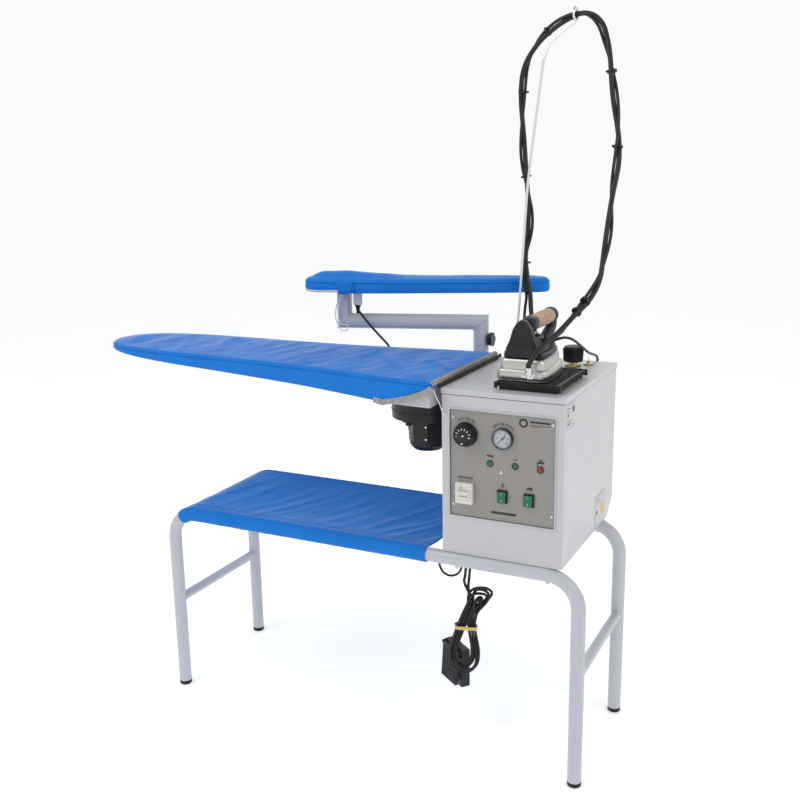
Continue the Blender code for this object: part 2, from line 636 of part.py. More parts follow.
def mast():
    foot = LID_Z + GAP
    bore = MAST_R + 0.0005
    turned("mast_socket",
           [(0, foot + 0.0015), (bore, foot + 0.0015), (bore, foot + 0.030), (0.0080, foot + 0.030),
            (0.0085, foot + 0.004), (0.0200, foot + 0.003), (0.0200, foot), (0, foot)],
           "steel", (MAST[0][0], MAST_Y, 0), steps=24)
    rod_line = smooth([(x, MAST_Y, z) for x, z in MAST], 0.04)
    wire = meshed(tube("mast_rod", rod_line, MAST_R, "steel", resolution=2))
    section = [(RING_R + RING_WIRE * math.sin(a), RING_WIRE * math.cos(a))
               for a in (math.radians(45 * i) for i in range(8))]
    ring = turned("mast_ring", section, None, RING, TO_THE_RIGHT, steps=24)
    join(wire, ring)


def fittings():
    """Where the steam hose leaves the cabinet's top and a cable leaves its back."""
    turned("steam_outlet",
           [(0, 0.0250), (0.0065, 0.0250), (0.0085, 0.0235), (0.0085, 0.0120), (0.0110, 0.0110),
            (0.0110, 0.0040), (0.0150, 0.0030), (0.0150, GAP), (0, GAP)],
           "brass", (*STEAM_OUTLET, LID_Z), steps=24)
    turned("rear_cable_gland",
           [(0, 0.0180), (0.0050, 0.0180), (0.0075, 0.0070), (0.0095, 0.0060), (0.0095, GAP), (0, GAP)],
           "black_plastic", (REAR_GLAND[0], LID_Y[1] - SHELL_INSET, REAR_GLAND[1]), (-math.pi / 2, 0, 0), steps=20)


def hoses():
    """The steam hose and the iron's cable wind round each other over the mast; a second cable joins them."""
    hose = list(HOSE_START) + twisted(BUNDLE, 0.0049, -math.pi / 2) + list(HOSE_END)
    cable = list(CABLE_START) + twisted(BUNDLE, 0.0056, math.pi / 2) + list(CABLE_END)
    tube("steam_hose", smooth(hose, 0.024), HOSE_R, "black_rubber", resolution=2)
    tube("iron_cable", smooth(cable, 0.024), CABLE_R, "black_rubber", resolution=2)
    tube("return_cable", smooth(RETURN_CABLE, 0.014), RETURN_CABLE_R, "black_rubber", resolution=2)


# Ironing board


def board_outline(halves, spacing):
    """The closed outline of a board that is symmetric about its long axis, counterclockwise from its heel."""
    near = [(x, half, 0) for x, half in halves]
    far = [(x, -half, 0) for x, half in reversed(halves) if half > 0]
    return [(point.x, point.y) for point in smooth(near + far, spacing, most=96)]


def prism(name, outline, low, high, material, location, parent=None, rotation=(0.0, 0.0, 0.0)):
    """An outline seen from above, filled from one height to another."""
    x, y = location
    return meshed(plate(name, [outline], high - low, material, (x, y, (low + high) / 2), rotation, parent))


def wedge(name, corners, parent):
    """A cutter with a side view (x, z) that runs right across the board."""
    return meshed(plate(name, [corners], 0.6, None, (0, BOARD_Y, 0), UPRIGHT, parent))


def ironing_board():
    """Heights are those at the heel; the board turns about its heel's top edge to rise towards its tip."""
    tilt = empty("board_tilt", (HEEL_X - BOARD_Z * math.sin(BOARD_TILT), 0, BOARD_Z * (1 - math.cos(BOARD_TILT))),
                 (0, BOARD_TILT, 0), STATION)
    bpy.context.view_layer.update()
    halves = [(x - HEEL_X, half) for x, half in BOARD_HALF]
    outline = board_outline(halves, 0.024)
    at = (0, BOARD_Y)

    def under(height, knee, heel_rise):
        """The region below the underside, which slopes up from the knee towards the tip and the heel."""
        knee -= HEEL_X
        reach = 1.20
        return [(0.1, 0.8), (0.1, height + heel_rise * (0.1 - knee)), (knee, height),
                (knee - reach, height + SLOPE * reach), (knee - reach, 0.8)]

    pan = inset(outline, PLENUM_INSET)
    plenum = prism("board_plenum", pan, 0.870, BOARD_Z - PAD - GAP, "white_sheet", at, tilt)
    room = prism("plenum_room", inset(pan, SHEET), 0.865, BOARD_Z - PAD - GAP - SHEET, None, at, tilt)
    cut(room, wedge("plenum_floor", under(PLENUM_Z + SHEET, SLOPE_X, 0), tilt))
    suction = rod("suction_hole", (FAN_X - HEEL_X, FAN_Y, 0.86), (FAN_X - HEEL_X, FAN_Y, 0.90), SUCTION_R, None,
                  tilt, sides=32)
    cut(plenum, wedge("plenum_under", under(PLENUM_Z, SLOPE_X, 0), tilt), room, suction)

    cover = prism("board_pad_cover", outline, 0.875, BOARD_Z, "blue_fabric", at, tilt)
    lining = prism("cover_room", inset(outline, PLENUM_INSET - 0.0006), 0.86, BOARD_Z - PAD, None, at, tilt)
    cut(cover, lining, wedge("cover_hem", under(HEM_Z, HEM_X, HEM_SLOPE), tilt))


def fan():
    """A volute with its motor below, open above to the plenum and behind to the room."""
    roof = 0.8795
    housing = turned("fan_housing",
                     [(0, 0.8060), (0.0050, 0.8060), (0.0050, FAN_Z + 0.0025), (FAN_R - 0.002, FAN_Z + 0.0025),
                      (FAN_R - 0.002, roof - 0.002), (0.0545, roof - 0.002), (0.0545, 0.8870), (0.0570, 0.8870),
                      (0.0570, roof), (FAN_R, roof), (FAN_R, FAN_Z), (MOTOR_R, FAN_Z), (MOTOR_R, MOTOR_Z + 0.012),
                      (MOTOR_R - 0.010, MOTOR_Z), (0, MOTOR_Z)],
                     "black_plastic", (FAN_X, FAN_Y, 0), steps=40)
    cut(housing, box("fan_outlet", (FAN_X - 0.025, FAN_Y + FAN_R - 0.020, FAN_Z + 0.010),
                     (FAN_X + 0.025, FAN_Y + FAN_R + 0.010, roof - 0.010), None))
    blades = 10
    outline = []
    for i in range(blades):
        turn = Matrix.Rotation(2 * math.pi * i / blades, 2)
        outline += [tuple(turn @ Vector(p)) for p in ((0.0130, -0.0012), (0.0700, -0.0012), (0.0700, 0.0012),
                                                      (0.0130, 0.0012))]
    floor = FAN_Z + 0.004
    impeller = meshed(plate("fan_impeller", [outline], 0.046, "aluminium", (FAN_X, FAN_Y, floor + 0.025)))
    disc = rod("impeller_disc", (FAN_X, FAN_Y, floor), (FAN_X, FAN_Y, floor + 0.003), 0.0705, None, sides=40)
    shaft = rod("impeller_shaft", (FAN_X, FAN_Y, 0.8070), (FAN_X, FAN_Y, floor + 0.001), 0.0042, None, sides=20)
    join(impeller, disc, shaft)


# Sleeve board


def mitred(name, points, radius, material, parent=None, sides=24):
    """A round tube with sharp mitred corners: each ring is the last one carried along to the next corner's plane."""
    points = [Vector(p) for p in points]
    legs = [(b - a).normalized() for a, b in zip(points, points[1:])]
    side = legs[0].orthogonal().normalized()
    bm = bmesh.new()
    ring = [points[0] + Matrix.Rotation(2 * math.pi * i / sides, 3, legs[0]) @ side * radius
            for i in range(sides)]
    rings = [[bm.verts.new(p) for p in ring]]
    for i, leg in enumerate(legs):
        normal = (leg + legs[min(i + 1, len(legs) - 1)]).normalized()
        ring = [p + leg * ((points[i + 1] - p).dot(normal) / leg.dot(normal)) for p in ring]
        rings.append([bm.verts.new(p) for p in ring])
    for a, b in zip(rings, rings[1:]):
        for i in range(sides):
            j = (i + 1) % sides
            bm.faces.new((a[i], a[j], b[j], b[i]))
    bm.faces.new(rings[0][::-1])
    bm.faces.new(rings[-1])
    bmesh.ops.recalc_face_normals(bm, faces=bm.faces)
    return place(name, mesh_of(name, bm), material, parent=parent)


def star(radius, lobes):
    """The outline of a lobed hand knob."""
    points = []
    for i in range(lobes * 6):
        angle = 2 * math.pi * i / (lobes * 6)
        reach = radius * (0.90 + 0.10 * math.cos(lobes * angle))
        points.append((reach * math.cos(angle), reach * math.sin(angle)))
    return points


def sleeve_board():
    x, y, _ = POST
    wall = ARM_R - PIN_R - 0.0004
    pin = rod("sleeve_post", (x, y, PIN_Z[0]), (x, y, PIN_Z[1]), PIN_R, "tube_paint", sides=32)
    bracket = box("post_bracket", (x, y - 0.012, 0.835), (LID_X[0] + SHELL_INSET - GAP, y + 0.005, 0.890), None)
    collar = rod("post_collar", (x, y, 0.890), (x, y, ARM_BOTTOM - GAP), ARM_R, None, sides=32)
    join(pin, bracket, collar)

    end = POST + Vector((math.cos(ARM_ANGLE), math.sin(ARM_ANGLE), 0)) * ARM_LENGTH
    arm = mitred("sleeve_arm", [(x, y, ARM_BOTTOM), (x, y, ARM_Z), (end.x, end.y, ARM_Z),
                                (end.x, end.y, SLEEVE_Z - GAP)], ARM_R, "tube_paint", sides=32)
    origin_to(arm, POST)
    cut(arm, rod("arm_bore", (x, y, ARM_BOTTOM - 0.01), (x, y, PIN_Z[1] + 0.002), ARM_R - wall, None, sides=32),
        rod("clamp_bore", (x + 0.010, y, CLAMP_Z), (x + 0.030, y, CLAMP_Z), 0.0036, None))

    knob = meshed(plate("sleeve_clamp_knob", [star(0.0190, 5)], 0.0120, "black_plastic",
                        (x + ARM_R + 0.0085, y, CLAMP_Z), SIDEWAYS))
    join(knob, rod("clamp_hub", (x + ARM_R + 0.0006, y, CLAMP_Z), (x + ARM_R + 0.0060, y, CLAMP_Z), 0.0090, None),
         rod("clamp_screw", (x + PIN_R + 0.0008, y, CLAMP_Z), (x + ARM_R + 0.0050, y, CLAMP_Z), 0.0030, None))

    halves = list(SLEEVE_HALF)
    outline = board_outline(halves, 0.022)
    turn = (0, 0, SLEEVE_ANGLE)
    at = (end.x, end.y)
    base = prism("sleeve_board_base", inset(outline, 0.003), SLEEVE_Z, SLEEVE_Z + SLEEVE_BASE, "white_sheet", at,
                 rotation=turn)
    plug_x, plug_y = SLEEVE_PLUG
    join(base, box("sleeve_plug", (plug_x - 0.010, plug_y - 0.008, SLEEVE_Z - 0.036),
                   (plug_x + 0.010, plug_y + 0.008, SLEEVE_Z + 0.004), None))
    cover = prism("sleeve_pad_cover", outline, SLEEVE_Z + 0.003, SLEEVE_Z + SLEEVE_PAD, "blue_fabric", at,
                  rotation=turn)
    cut(cover, prism("sleeve_room", inset(outline, 0.0025), SLEEVE_Z - 0.01, SLEEVE_Z + SLEEVE_BASE + GAP, None, at,
                     rotation=turn))


def origin_to(made, point):
    """Moves an object's origin to a point and leaves its shape where it is."""
    point = Vector(point)
    made.data.transform(Matrix.Translation(made.location - point))
    made.location = point


# Iron


def iron_outline(margin):
    """The iron seen from above, with its nose at +Y, as a counterclockwise outline round (IRON_X, 0)."""
    right = [(half, y, 0) for y, half in IRON_HALF]
    left = [(-x, y, 0) for x, y, _ in reversed(right) if x > 0]
    around = [(point.x, point.y) for point in smooth(right + left, 0.014, most=60)]
    return inset(around, margin) if margin else around


def rest():
    low, high = (REST_X[0], REST_Y[0]), (REST_X[1], REST_Y[1])
    mat = box("iron_rest_mat", (*low, REST_Z - 0.0105), (*high, REST_Z), "black_rubber")
    step = 0.006
    join(mat, box("rest_foot", (low[0] + step, low[1] + step, LID_Z + GAP),
                  (high[0] - step, high[1] - step, REST_Z - 0.005), None))


def iron():
    at = (IRON_X, 0)
    sole = REST_Z + GAP
    prism("iron_soleplate", iron_outline(0), sole, sole + SOLE, "aluminium", at)
    floor = sole + SOLE + GAP
    cover = prism("iron_cover", iron_outline(0), floor, LOWER_TIER, "steel", at)
    join(cover, prism("cover_upper", iron_outline(0.006), floor + 0.001, UPPER_TIER, None, at))
    cut(cover, prism("cover_lower_room", iron_outline(0.002), floor - 0.01, LOWER_TIER - 0.002, None, at),
        prism("cover_upper_room", iron_outline(0.008), floor - 0.01, UPPER_TIER - 0.002, None, at))

    plinth = UPPER_TIER + GAP
    shell = prism("iron_shell", iron_outline(0.014), plinth, 1.0080, "black_plastic", at)
    arch = [(side * half, z) for side in (1, -1) for half, z in (SHIELD if side > 0 else SHIELD[::-1])]
    shield = meshed(plate("heel_shield", [arch], SHIELD_Y[1] - SHIELD_Y[0], None,
                          (IRON_X, sum(SHIELD_Y) / 2, 0), UPRIGHT))
    slope = meshed(plate("shield_slope", [[(-0.040, 1.0085), (-0.040, 1.10), (-0.1200, 1.10), (-0.1200, 1.0440)]],
                         0.2, None, (IRON_X, 0, 0), SIDEWAYS))
    cut(shield, slope)
    x, y, z = STEAM_BUTTON
    housing = box("switch_housing", (x - 0.012, y - 0.033, 1.004), (x + 0.012, y + 0.014, z - 0.0040), None)
    join(shell, shield, housing)
    cut(shell, rod("button_bore", (x, y, z - 0.0140), (x, y, z + 0.004), 0.0056, None))
    turned("steam_button",
           [(0, 0.0045), (0.0035, 0.0042), (0.0050, 0.0028), (0.0050, -0.0085), (0, -0.0085)],
           "steel", (x, y, z), steps=20)

    post = meshed(plate("iron_handle", [FRONT_POST], 0.0240, "black_plastic", (IRON_X, 0, 0), SIDEWAYS))
    core = rod("handle_core", (IRON_X, COLLAR_Y + 0.01, HANDLE_Z), (IRON_X, GRIP_Y[1] + 0.01, HANDLE_Z), 0.0080, None)
    collar = rod("handle_collar", (IRON_X, COLLAR_Y, HANDLE_Z), (IRON_X, GRIP_Y[0] - GAP, HANDLE_Z), 0.0190, None)
    join(post, core, collar)
    half = (GRIP_Y[1] - GRIP_Y[0]) / 2
    turned("iron_grip",
           [(0.0084, half), (GRIP_R - 0.0010, half), (GRIP_R, half - 0.003), (GRIP_R, 0.003 - half),
            (GRIP_R - 0.0010, -half), (0.0084, -half)],
           "cork", (IRON_X, sum(GRIP_Y) / 2, HANDLE_Z), UPRIGHT, steps=24)

    x, y, z = ELBOW
    heel = IRON_HALF[0][0] - GAP
    elbow = mitred("iron_hose_elbow", [(x, heel - 0.002, z), (x, y, z), (x, y, z + 0.0120)], 0.0045, "steel",
                   sides=16)
    nut = rod("elbow_nut", (x, heel, z), (x, heel - 0.008, z), 0.0075, None, sides=6)
    ferrule = rod("elbow_ferrule", (x, y, z + 0.0040), (x, y, z + 0.0135), 0.0068, None)
    join(elbow, nut, ferrule)


# Foot pedal


def pedal():
    block_low, block_high = CABLE_BLOCK
    box("cable_block", block_low, block_high, "black_plastic")
    tube("pedal_cord", smooth(PEDAL_CORD, 0.014), PEDAL_CORD_R, "black_rubber", resolution=2)
    tube("fan_cable", smooth(FAN_CABLE, 0.013), FAN_CABLE_R, "black_rubber", resolution=2)
    tube("sleeve_cable", smooth(SLEEVE_CABLE, 0.013), SLEEVE_CABLE_R, "black_rubber", resolution=2)
    ends = [(x, y, 0) for x, y in HANK_OUTLINE]
    bend = [(p.x, p.y) for p in smooth(ends + ends[:1], 0.012)][:-1]
    plate("pedal_hank", [bend], HANK_DEPTH, "black_rubber", HANK, (math.pi / 2, 0, HANK_YAW))

    stance = empty("pedal_stance", PEDAL, (0, 0, PEDAL_YAW), STATION)
    bpy.context.view_layer.update()
    width, depth, height = (size / 2 for size in PEDAL_SIZE)
    base = box("pedal_base", (-width, -depth, -height), (width, depth, height), "black_plastic", stance)
    axle = Vector((0, -depth - 0.0055, height - 0.006))
    for side, name in ((-1, "left"), (1, "right")):
        outer, inner = side * width, side * (width - 0.004)
        join(base, box(f"pedal_ear_{name}", (min(outer, inner), axle.y - 0.004, axle.z - 0.004),
                       (max(outer, inner), -depth + 0.001, axle.z + 0.004), None, stance))
    cut(base, rod("pedal_axle_bore", (-width + 0.001, axle.y, axle.z), (width - 0.001, axle.y, axle.z), 0.0024, None,
                  stance))
    tread = box("pedal_tread", (-width + 0.006, axle.y - 0.004, -height + 0.006), (width - 0.006, axle.y + 0.003,
                axle.z + 0.003), "black_rubber", stance, rotation=(-PEDAL_TRAVEL, 0, 0), pivot=axle)
    join(tread, rod("pedal_axle", (-width + 0.0015, axle.y, axle.z), (width - 0.0015, axle.y, axle.z), 0.0020, None,
                    stance))


def main():
    stand()
    shelf()
    cabinet()
    controls()
    boiler()
    mast()
    fittings()
    hoses()
    ironing_board()
    fan()
    sleeve_board()
    rest()
    iron()
    pedal()


main()
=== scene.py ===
"""The looks of a steam ironing station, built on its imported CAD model.

Lengths are in metres. Most pieces are built from the middle of the stand's four legs and moved to the
row frame by DATUM when they are placed.
"""

import json
from math import cos, exp, pi, radians, sin, sqrt

import bmesh
import bpy
from mathutils import Matrix, Vector, noise
from mathutils.geometry import delaunay_2d_cdt

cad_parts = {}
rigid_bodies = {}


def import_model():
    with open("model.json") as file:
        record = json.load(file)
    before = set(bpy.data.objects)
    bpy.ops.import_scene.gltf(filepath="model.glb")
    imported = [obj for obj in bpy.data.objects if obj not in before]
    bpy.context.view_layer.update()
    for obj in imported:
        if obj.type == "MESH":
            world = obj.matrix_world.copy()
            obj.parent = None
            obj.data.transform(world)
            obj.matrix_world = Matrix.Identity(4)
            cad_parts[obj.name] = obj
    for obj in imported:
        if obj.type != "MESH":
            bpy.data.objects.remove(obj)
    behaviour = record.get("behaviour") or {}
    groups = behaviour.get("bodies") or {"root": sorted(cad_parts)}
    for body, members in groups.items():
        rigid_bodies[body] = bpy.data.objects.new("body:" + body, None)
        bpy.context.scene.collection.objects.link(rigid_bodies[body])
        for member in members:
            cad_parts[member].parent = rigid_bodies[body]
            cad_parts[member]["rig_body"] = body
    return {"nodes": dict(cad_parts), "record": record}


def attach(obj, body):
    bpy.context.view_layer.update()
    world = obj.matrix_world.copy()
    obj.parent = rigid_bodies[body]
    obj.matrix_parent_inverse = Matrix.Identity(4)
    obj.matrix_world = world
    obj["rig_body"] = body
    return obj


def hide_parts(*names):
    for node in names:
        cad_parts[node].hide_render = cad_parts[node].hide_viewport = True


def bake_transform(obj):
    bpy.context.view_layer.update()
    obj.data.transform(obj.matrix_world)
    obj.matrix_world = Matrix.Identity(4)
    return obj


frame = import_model()
NODES = frame["nodes"]
SLOT = {part["node"]: part["material_slot"] for part in frame["record"]["subparts"]}
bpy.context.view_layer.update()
DATUM = Vector((0.1297, -0.0607, 0.0))

TUBE_R = 0.01685
LEG_X = 0.566
LEG_Y = 0.181
RAIL_Z = 0.515
FRAME_BEND = 0.075
LID_X = (0.2344, 0.5276)
LID_Y = (-0.1878, 0.2451)
LID_Z = 0.9256
PANEL_Y = -0.1842
FRONT_Y = -0.186
KNOB = (0.2956, 0.8227)
GAUGE = (0.3845, 0.8218)
LAMPS = (("left", 0.3539, 0.7601, 0.0062), ("middle", 0.4134, 0.7604, 0.0062),
         ("right", 0.4726, 0.7596, 0.0066))
BREAKER = (0.2935, 0.684)
ROCKERS = (("left", 0.3844, 0.6862), ("right", 0.4471, 0.6854))
HEEL_X = 0.2285
BOARD_Y = -0.02
BOARD_Z = 0.944
BOARD_TILT = 0.0075
BOARD_HALF = ((0.2285, 0.2), (0.12, 0.196), (0.0, 0.178), (-0.16, 0.157), (-0.36, 0.146),
              (-0.56, 0.14), (-0.69, 0.126), (-0.78, 0.096), (-0.826, 0.055), (-0.843, 0.0))
HEM_X = 0.096
HEM_Z = 0.885
FAN = (0.129, -0.03)
POST = Vector((0.163, 0.235, 0.0))
ARM_R = 0.0205
ARM_Z = 1.0095
ARM_END = Vector((-0.1935, 0.1361, 0.0))
SLEEVE_ANGLE = radians(19.5)
SLEEVE_Z = 1.093
SLEEVE_HALF = ((-0.102, 0.0), (-0.097, 0.026), (-0.076, 0.047), (-0.035, 0.058), (0.1, 0.058),
               (0.3, 0.051), (0.45, 0.043), (0.515, 0.033), (0.539, 0.016), (0.544, 0.0))
IRON_X = 0.408
IRON_HALF = ((-0.143, 0.044), (-0.1385, 0.0545), (-0.115, 0.06), (-0.065, 0.06), (-0.02, 0.055),
             (0.015, 0.045), (0.045, 0.031), (0.066, 0.015), (0.075, 0.0))
HANDLE_Z = 1.066
BUTTON = Vector((0.408, -0.032, 1.036))
ELBOW = Vector((0.4345, -0.1635, 0.962))

# Routes of the hose, the cables and the cords, the same as the CAD solids follow
HOSE_START = ((0.3275, 0.205, 0.952), (0.3275, 0.205, 0.975), (0.318, 0.213, 1.005),
              (0.305, 0.226, 1.045))
CABLE_START = ((0.299, 0.203, 0.9275), (0.299, 0.203, 0.95), (0.295, 0.208, 0.985),
               (0.289, 0.219, 1.02), (0.287, 0.229, 1.052))
BUNDLE = ((0.2943, 0.234, 1.0873), (0.2857, 0.238, 1.12), (0.2816, 0.242, 1.1847), (0.2889, 0.244, 1.2239),
          (0.2932, 0.244, 1.2817), (0.286, 0.242, 1.3488), (0.2783, 0.24, 1.3956), (0.2734, 0.239, 1.442),
          (0.2712, 0.238, 1.5023), (0.2715, 0.237, 1.58), (0.2773, 0.235, 1.6368), (0.2914, 0.232, 1.6706),
          (0.3169, 0.229, 1.7067), (0.3584, 0.225, 1.7386), (0.4059, 0.222, 1.757), (0.433, 0.22, 1.756),
          (0.456, 0.217, 1.743), (0.4728, 0.214, 1.7204), (0.4838, 0.211, 1.6885), (0.4947, 0.207, 1.6544),
          (0.5046, 0.2, 1.61), (0.5128, 0.19, 1.5746), (0.5293, 0.168, 1.4929), (0.5344, 0.148, 1.4231),
          (0.533, 0.122, 1.3515), (0.5366, 0.095, 1.2849), (0.5373, 0.072, 1.2343), (0.5333, 0.035, 1.165),
          (0.5228, 0.01, 1.1312), (0.511, -0.018, 1.1065), (0.4985, -0.048, 1.085))
HOSE_END = ((0.486, -0.07, 1.064), (0.474, -0.096, 1.047), (0.462, -0.122, 1.033),
            (0.45, -0.146, 1.019), (0.439, -0.16, 1.004), (0.4345, -0.1635, 0.99),
            (0.4345, -0.1635, 0.9765))
CABLE_END = ((0.483, -0.04, 1.064), (0.47, -0.046, 1.044), (0.45, -0.05, 1.028),
             (0.434, -0.05, 1.023), (0.421, -0.05, 1.022))
RETURN_CABLE = ((0.467, 0.264, 0.9), (0.467, 0.276, 0.901), (0.467, 0.283, 0.912),
                (0.4675, 0.276, 0.929), (0.468, 0.25, 0.94), (0.47, 0.19, 0.956),
                (0.475, 0.12, 0.98), (0.479, 0.05, 1.006), (0.479, 0.0, 1.023),
                (0.47, -0.025, 1.029), (0.452, -0.034, 1.024), (0.435, -0.035, 1.016),
                (0.421, -0.035, 1.014))
PEDAL_CORD = ((0.269, -0.119, 0.5175), (0.269, -0.119, 0.495), (0.2665, -0.1195, 0.46),
              (0.2635, -0.12, 0.43), (0.264, -0.1205, 0.405))
FAN_CABLE = ((0.1764, -0.03, 0.75), (0.186, -0.03, 0.7485), (0.204, -0.03, 0.725),
             (0.214, -0.03, 0.69), (0.216, -0.032, 0.62), (0.214, -0.045, 0.55),
             (0.196, -0.08, 0.495), (0.192, -0.108, 0.47), (0.204, -0.119, 0.45),
             (0.224, -0.122, 0.442), (0.244, -0.121, 0.448), (0.255, -0.12, 0.464),
             (0.258, -0.119, 0.495), (0.258, -0.119, 0.5175))
SLEEVE_CABLE = ((-0.143, 0.118, 1.0545), (-0.14, 0.116, 1.043), (-0.124, 0.114, 1.025),
                (-0.104, 0.119, 1.0), (-0.089, 0.142, 0.97), (-0.079, 0.17, 0.94),
                (-0.074, 0.178, 0.91), (-0.065, 0.17, 0.88), (-0.04, 0.153, 0.865),
                (0.0, 0.135, 0.86), (0.04, 0.118, 0.86), (0.07, 0.102, 0.864),
                (0.086, 0.092, 0.87), (0.088, 0.09, 0.8795))
HANK = Vector((0.2688, -0.12, 0.311))
HANK_YAW = radians(26.6)
HANK_OUTLINE = ((-0.005, -0.12), (0.022, -0.108), (0.032, -0.066), (0.0245, 0.0), (0.0245, 0.015),
                (0.032, 0.044), (0.056, 0.0686), (0.064, 0.093), (0.037, 0.11), (0.007, 0.103),
                (0.0025, 0.0735), (-0.01, 0.044), (-0.027, 0.0), (-0.0465, -0.066), (-0.033, -0.106))

# The camera solved from the photograph: its lens in millimetres, place, and yaw, pitch and roll in radians
CAMERA_LENS = 44.59
CAMERA_PLACE = (1.2633, -2.2465, 1.4186)
CAMERA_TURN = (0.46498, -0.2331, -0.017075)

TWIST_PITCH = 0.336  # one turn of the hose and the cable round each other
SHELF_X = (-0.536, 0.195)
SHELF_SAG = 0.014
REST = (0.3555, 0.503, -0.156, 0.048)  # its left, right, front and back edges

# The least bend radius of a cord, in diameters, by its lay or its stiffness. A coiled cord keeps its folds:
# only a point where it turns back is eased.
LEAST_BEND = {"coiled": 0.01, "limp": 2, "medium": 4, "stiff": 4}

FRONT = Matrix.Rotation(pi / 2, 4, "X")  # local Z points to the front, -Y
RIGHT = Matrix.Rotation(pi / 2, 4, "Y")  # local Z points to the right, +X


# Materials


class Look:
    """A Principled material, with helpers that add its procedural nodes."""

    def __init__(self, name, colour, roughness, metallic=0.0, **sockets):
        self.material = bpy.data.materials.new(name)
        self.material.use_nodes = True
        self.tree = self.material.node_tree
        self.shader = self.tree.nodes["Principled BSDF"]
        self.colour = colour
        self.roughness = roughness
        self.shader.inputs["Base Color"].default_value = (*colour, 1.0)
        self.shader.inputs["Roughness"].default_value = roughness
        self.shader.inputs["Metallic"].default_value = metallic
        for socket, value in sockets.items():
            self.shader.inputs[socket.replace("_", " ")].default_value = value
        self.place = self.tree.nodes.new("ShaderNodeTexCoord").outputs["Object"]

    def stretched(self, stretch):
        mapping = self.tree.nodes.new("ShaderNodeMapping")
        mapping.inputs["Scale"].default_value = stretch
        self.tree.links.new(self.place, mapping.inputs["Vector"])
        return mapping.outputs["Vector"]

    def noise(self, scale, detail=3.0, stretch=(1.0, 1.0, 1.0), distortion=0.0):
        made = self.tree.nodes.new("ShaderNodeTexNoise")
        made.inputs["Scale"].default_value = scale
        made.inputs["Detail"].default_value = detail
        made.inputs["Distortion"].default_value = distortion
        self.tree.links.new(self.stretched(stretch), made.inputs["Vector"])
        return made.outputs["Fac"]

    def cells(self, scale):
        made = self.tree.nodes.new("ShaderNodeTexVoronoi")
        made.inputs["Scale"].default_value = scale
        self.tree.links.new(self.place, made.inputs["Vector"])
        return made.outputs["Distance"]

    def math(self, operation, first, second):
        made = self.tree.nodes.new("ShaderNodeMath")
        made.operation = operation
        for socket, value in zip(made.inputs, (first, second)):
            if isinstance(value, float):
                socket.default_value = value
            else:
                self.tree.links.new(value, socket)
        return made.outputs["Value"]

    def ramp(self, factor, low, high, start=0.3, end=0.7):
        """The factor between start and end, spread over low to high."""
        made = self.tree.nodes.new("ShaderNodeMapRange")
        made.inputs["From Min"].default_value = start
        made.inputs["From Max"].default_value = end
        made.inputs["To Min"].default_value = low
        made.inputs["To Max"].default_value = high
        self.tree.links.new(factor, made.inputs["Value"])
        return made.outputs["Result"]

    def tint(self, factor, other, start=0.3, end=0.7):
        """Mixes the base colour with another one."""
        made = self.tree.nodes.new("ShaderNodeMix")
        made.data_type = "RGBA"
        base = self.shader.inputs["Base Color"]
        if base.links:
            self.tree.links.new(base.links[0].from_socket, made.inputs[6])
        else:
            made.inputs[6].default_value = (*self.colour, 1.0)
        made.inputs[7].default_value = (*other, 1.0)
        self.tree.links.new(self.ramp(factor, 0.0, 1.0, start, end), made.inputs[0])
        self.tree.links.new(made.outputs[2], base)
        return self

    def rough(self, factor, spread):
        self.tree.links.new(self.ramp(factor, self.roughness - spread, self.roughness + spread),
                            self.shader.inputs["Roughness"])
        return self

    def bump(self, height, strength, distance):
        made = self.tree.nodes.new("ShaderNodeBump")
        made.inputs["Strength"].default_value = strength
        made.inputs["Distance"].default_value = distance
        normal = self.shader.inputs["Normal"]
        if normal.links:
            self.tree.links.new(normal.links[0].from_socket, made.inputs["Normal"])
        self.tree.links.new(height, made.inputs["Height"])
        self.tree.links.new(made.outputs["Normal"], normal)
        return self


def scaled(colour, factor):
    return tuple(min(1.0, c * factor) for c in colour)


def painted(name, colour, roughness):
    """Powder coat: fine orange peel, faint cloudiness and a few dull patches."""
    look = Look(name, colour, roughness, Coat_Weight=0.25, Coat_Roughness=0.25)
    look.tint(look.noise(7.0), scaled(colour, 0.965))
    look.rough(look.noise(22.0, 4.0), 0.05)
    look.bump(look.noise(900.0, 2.0), 0.1, 0.0003)
    return look.material


def cloth(name, colour, creases, sheen=0.5):
    """Crossing threads, lighter worn areas, and creases from soft folds to thin sharp lines."""
    look = Look(name, colour, 0.8, Sheen_Weight=sheen, Sheen_Roughness=0.26, Specular_IOR_Level=0.25)
    look.tint(look.noise(9.0, 4.0, distortion=0.6), scaled(colour, 1.16), 0.42, 0.72)
    threads = look.noise(1600.0, 1.0, (1.0, 0.14, 0.14))
    for stretch in ((0.14, 1.0, 0.14), (0.14, 0.14, 1.0)):
        threads = look.math("ADD", threads, look.noise(1600.0, 1.0, stretch))
    look.tint(threads, scaled(colour, 0.84), 1.3, 1.75)
    look.bump(threads, 0.22, 0.0003)
    look.bump(look.noise(24.0, 4.0, distortion=1.2), creases, 0.004)
    return look.material


def moulded(name, colour, roughness, grain=700.0, gloss=0.5, wear=1.7):
    look = Look(name, colour, roughness, Specular_IOR_Level=gloss)
    look.tint(look.noise(35.0, 4.0), scaled(colour, wear), 0.45, 0.75)
    look.rough(look.noise(60.0), 0.07)
    look.bump(look.noise(grain, 2.0), 0.22, 0.0003)
    return look.material


def brushed(name, colour, roughness, stretch):
    look = Look(name, colour, roughness, 1.0, Anisotropic=0.4)
    strokes = look.noise(60.0, 5.0, stretch)
    look.tint(strokes, scaled(colour, 0.86))
    look.rough(strokes, 0.08)
    look.bump(strokes, 0.12, 0.0002)
    return look.material


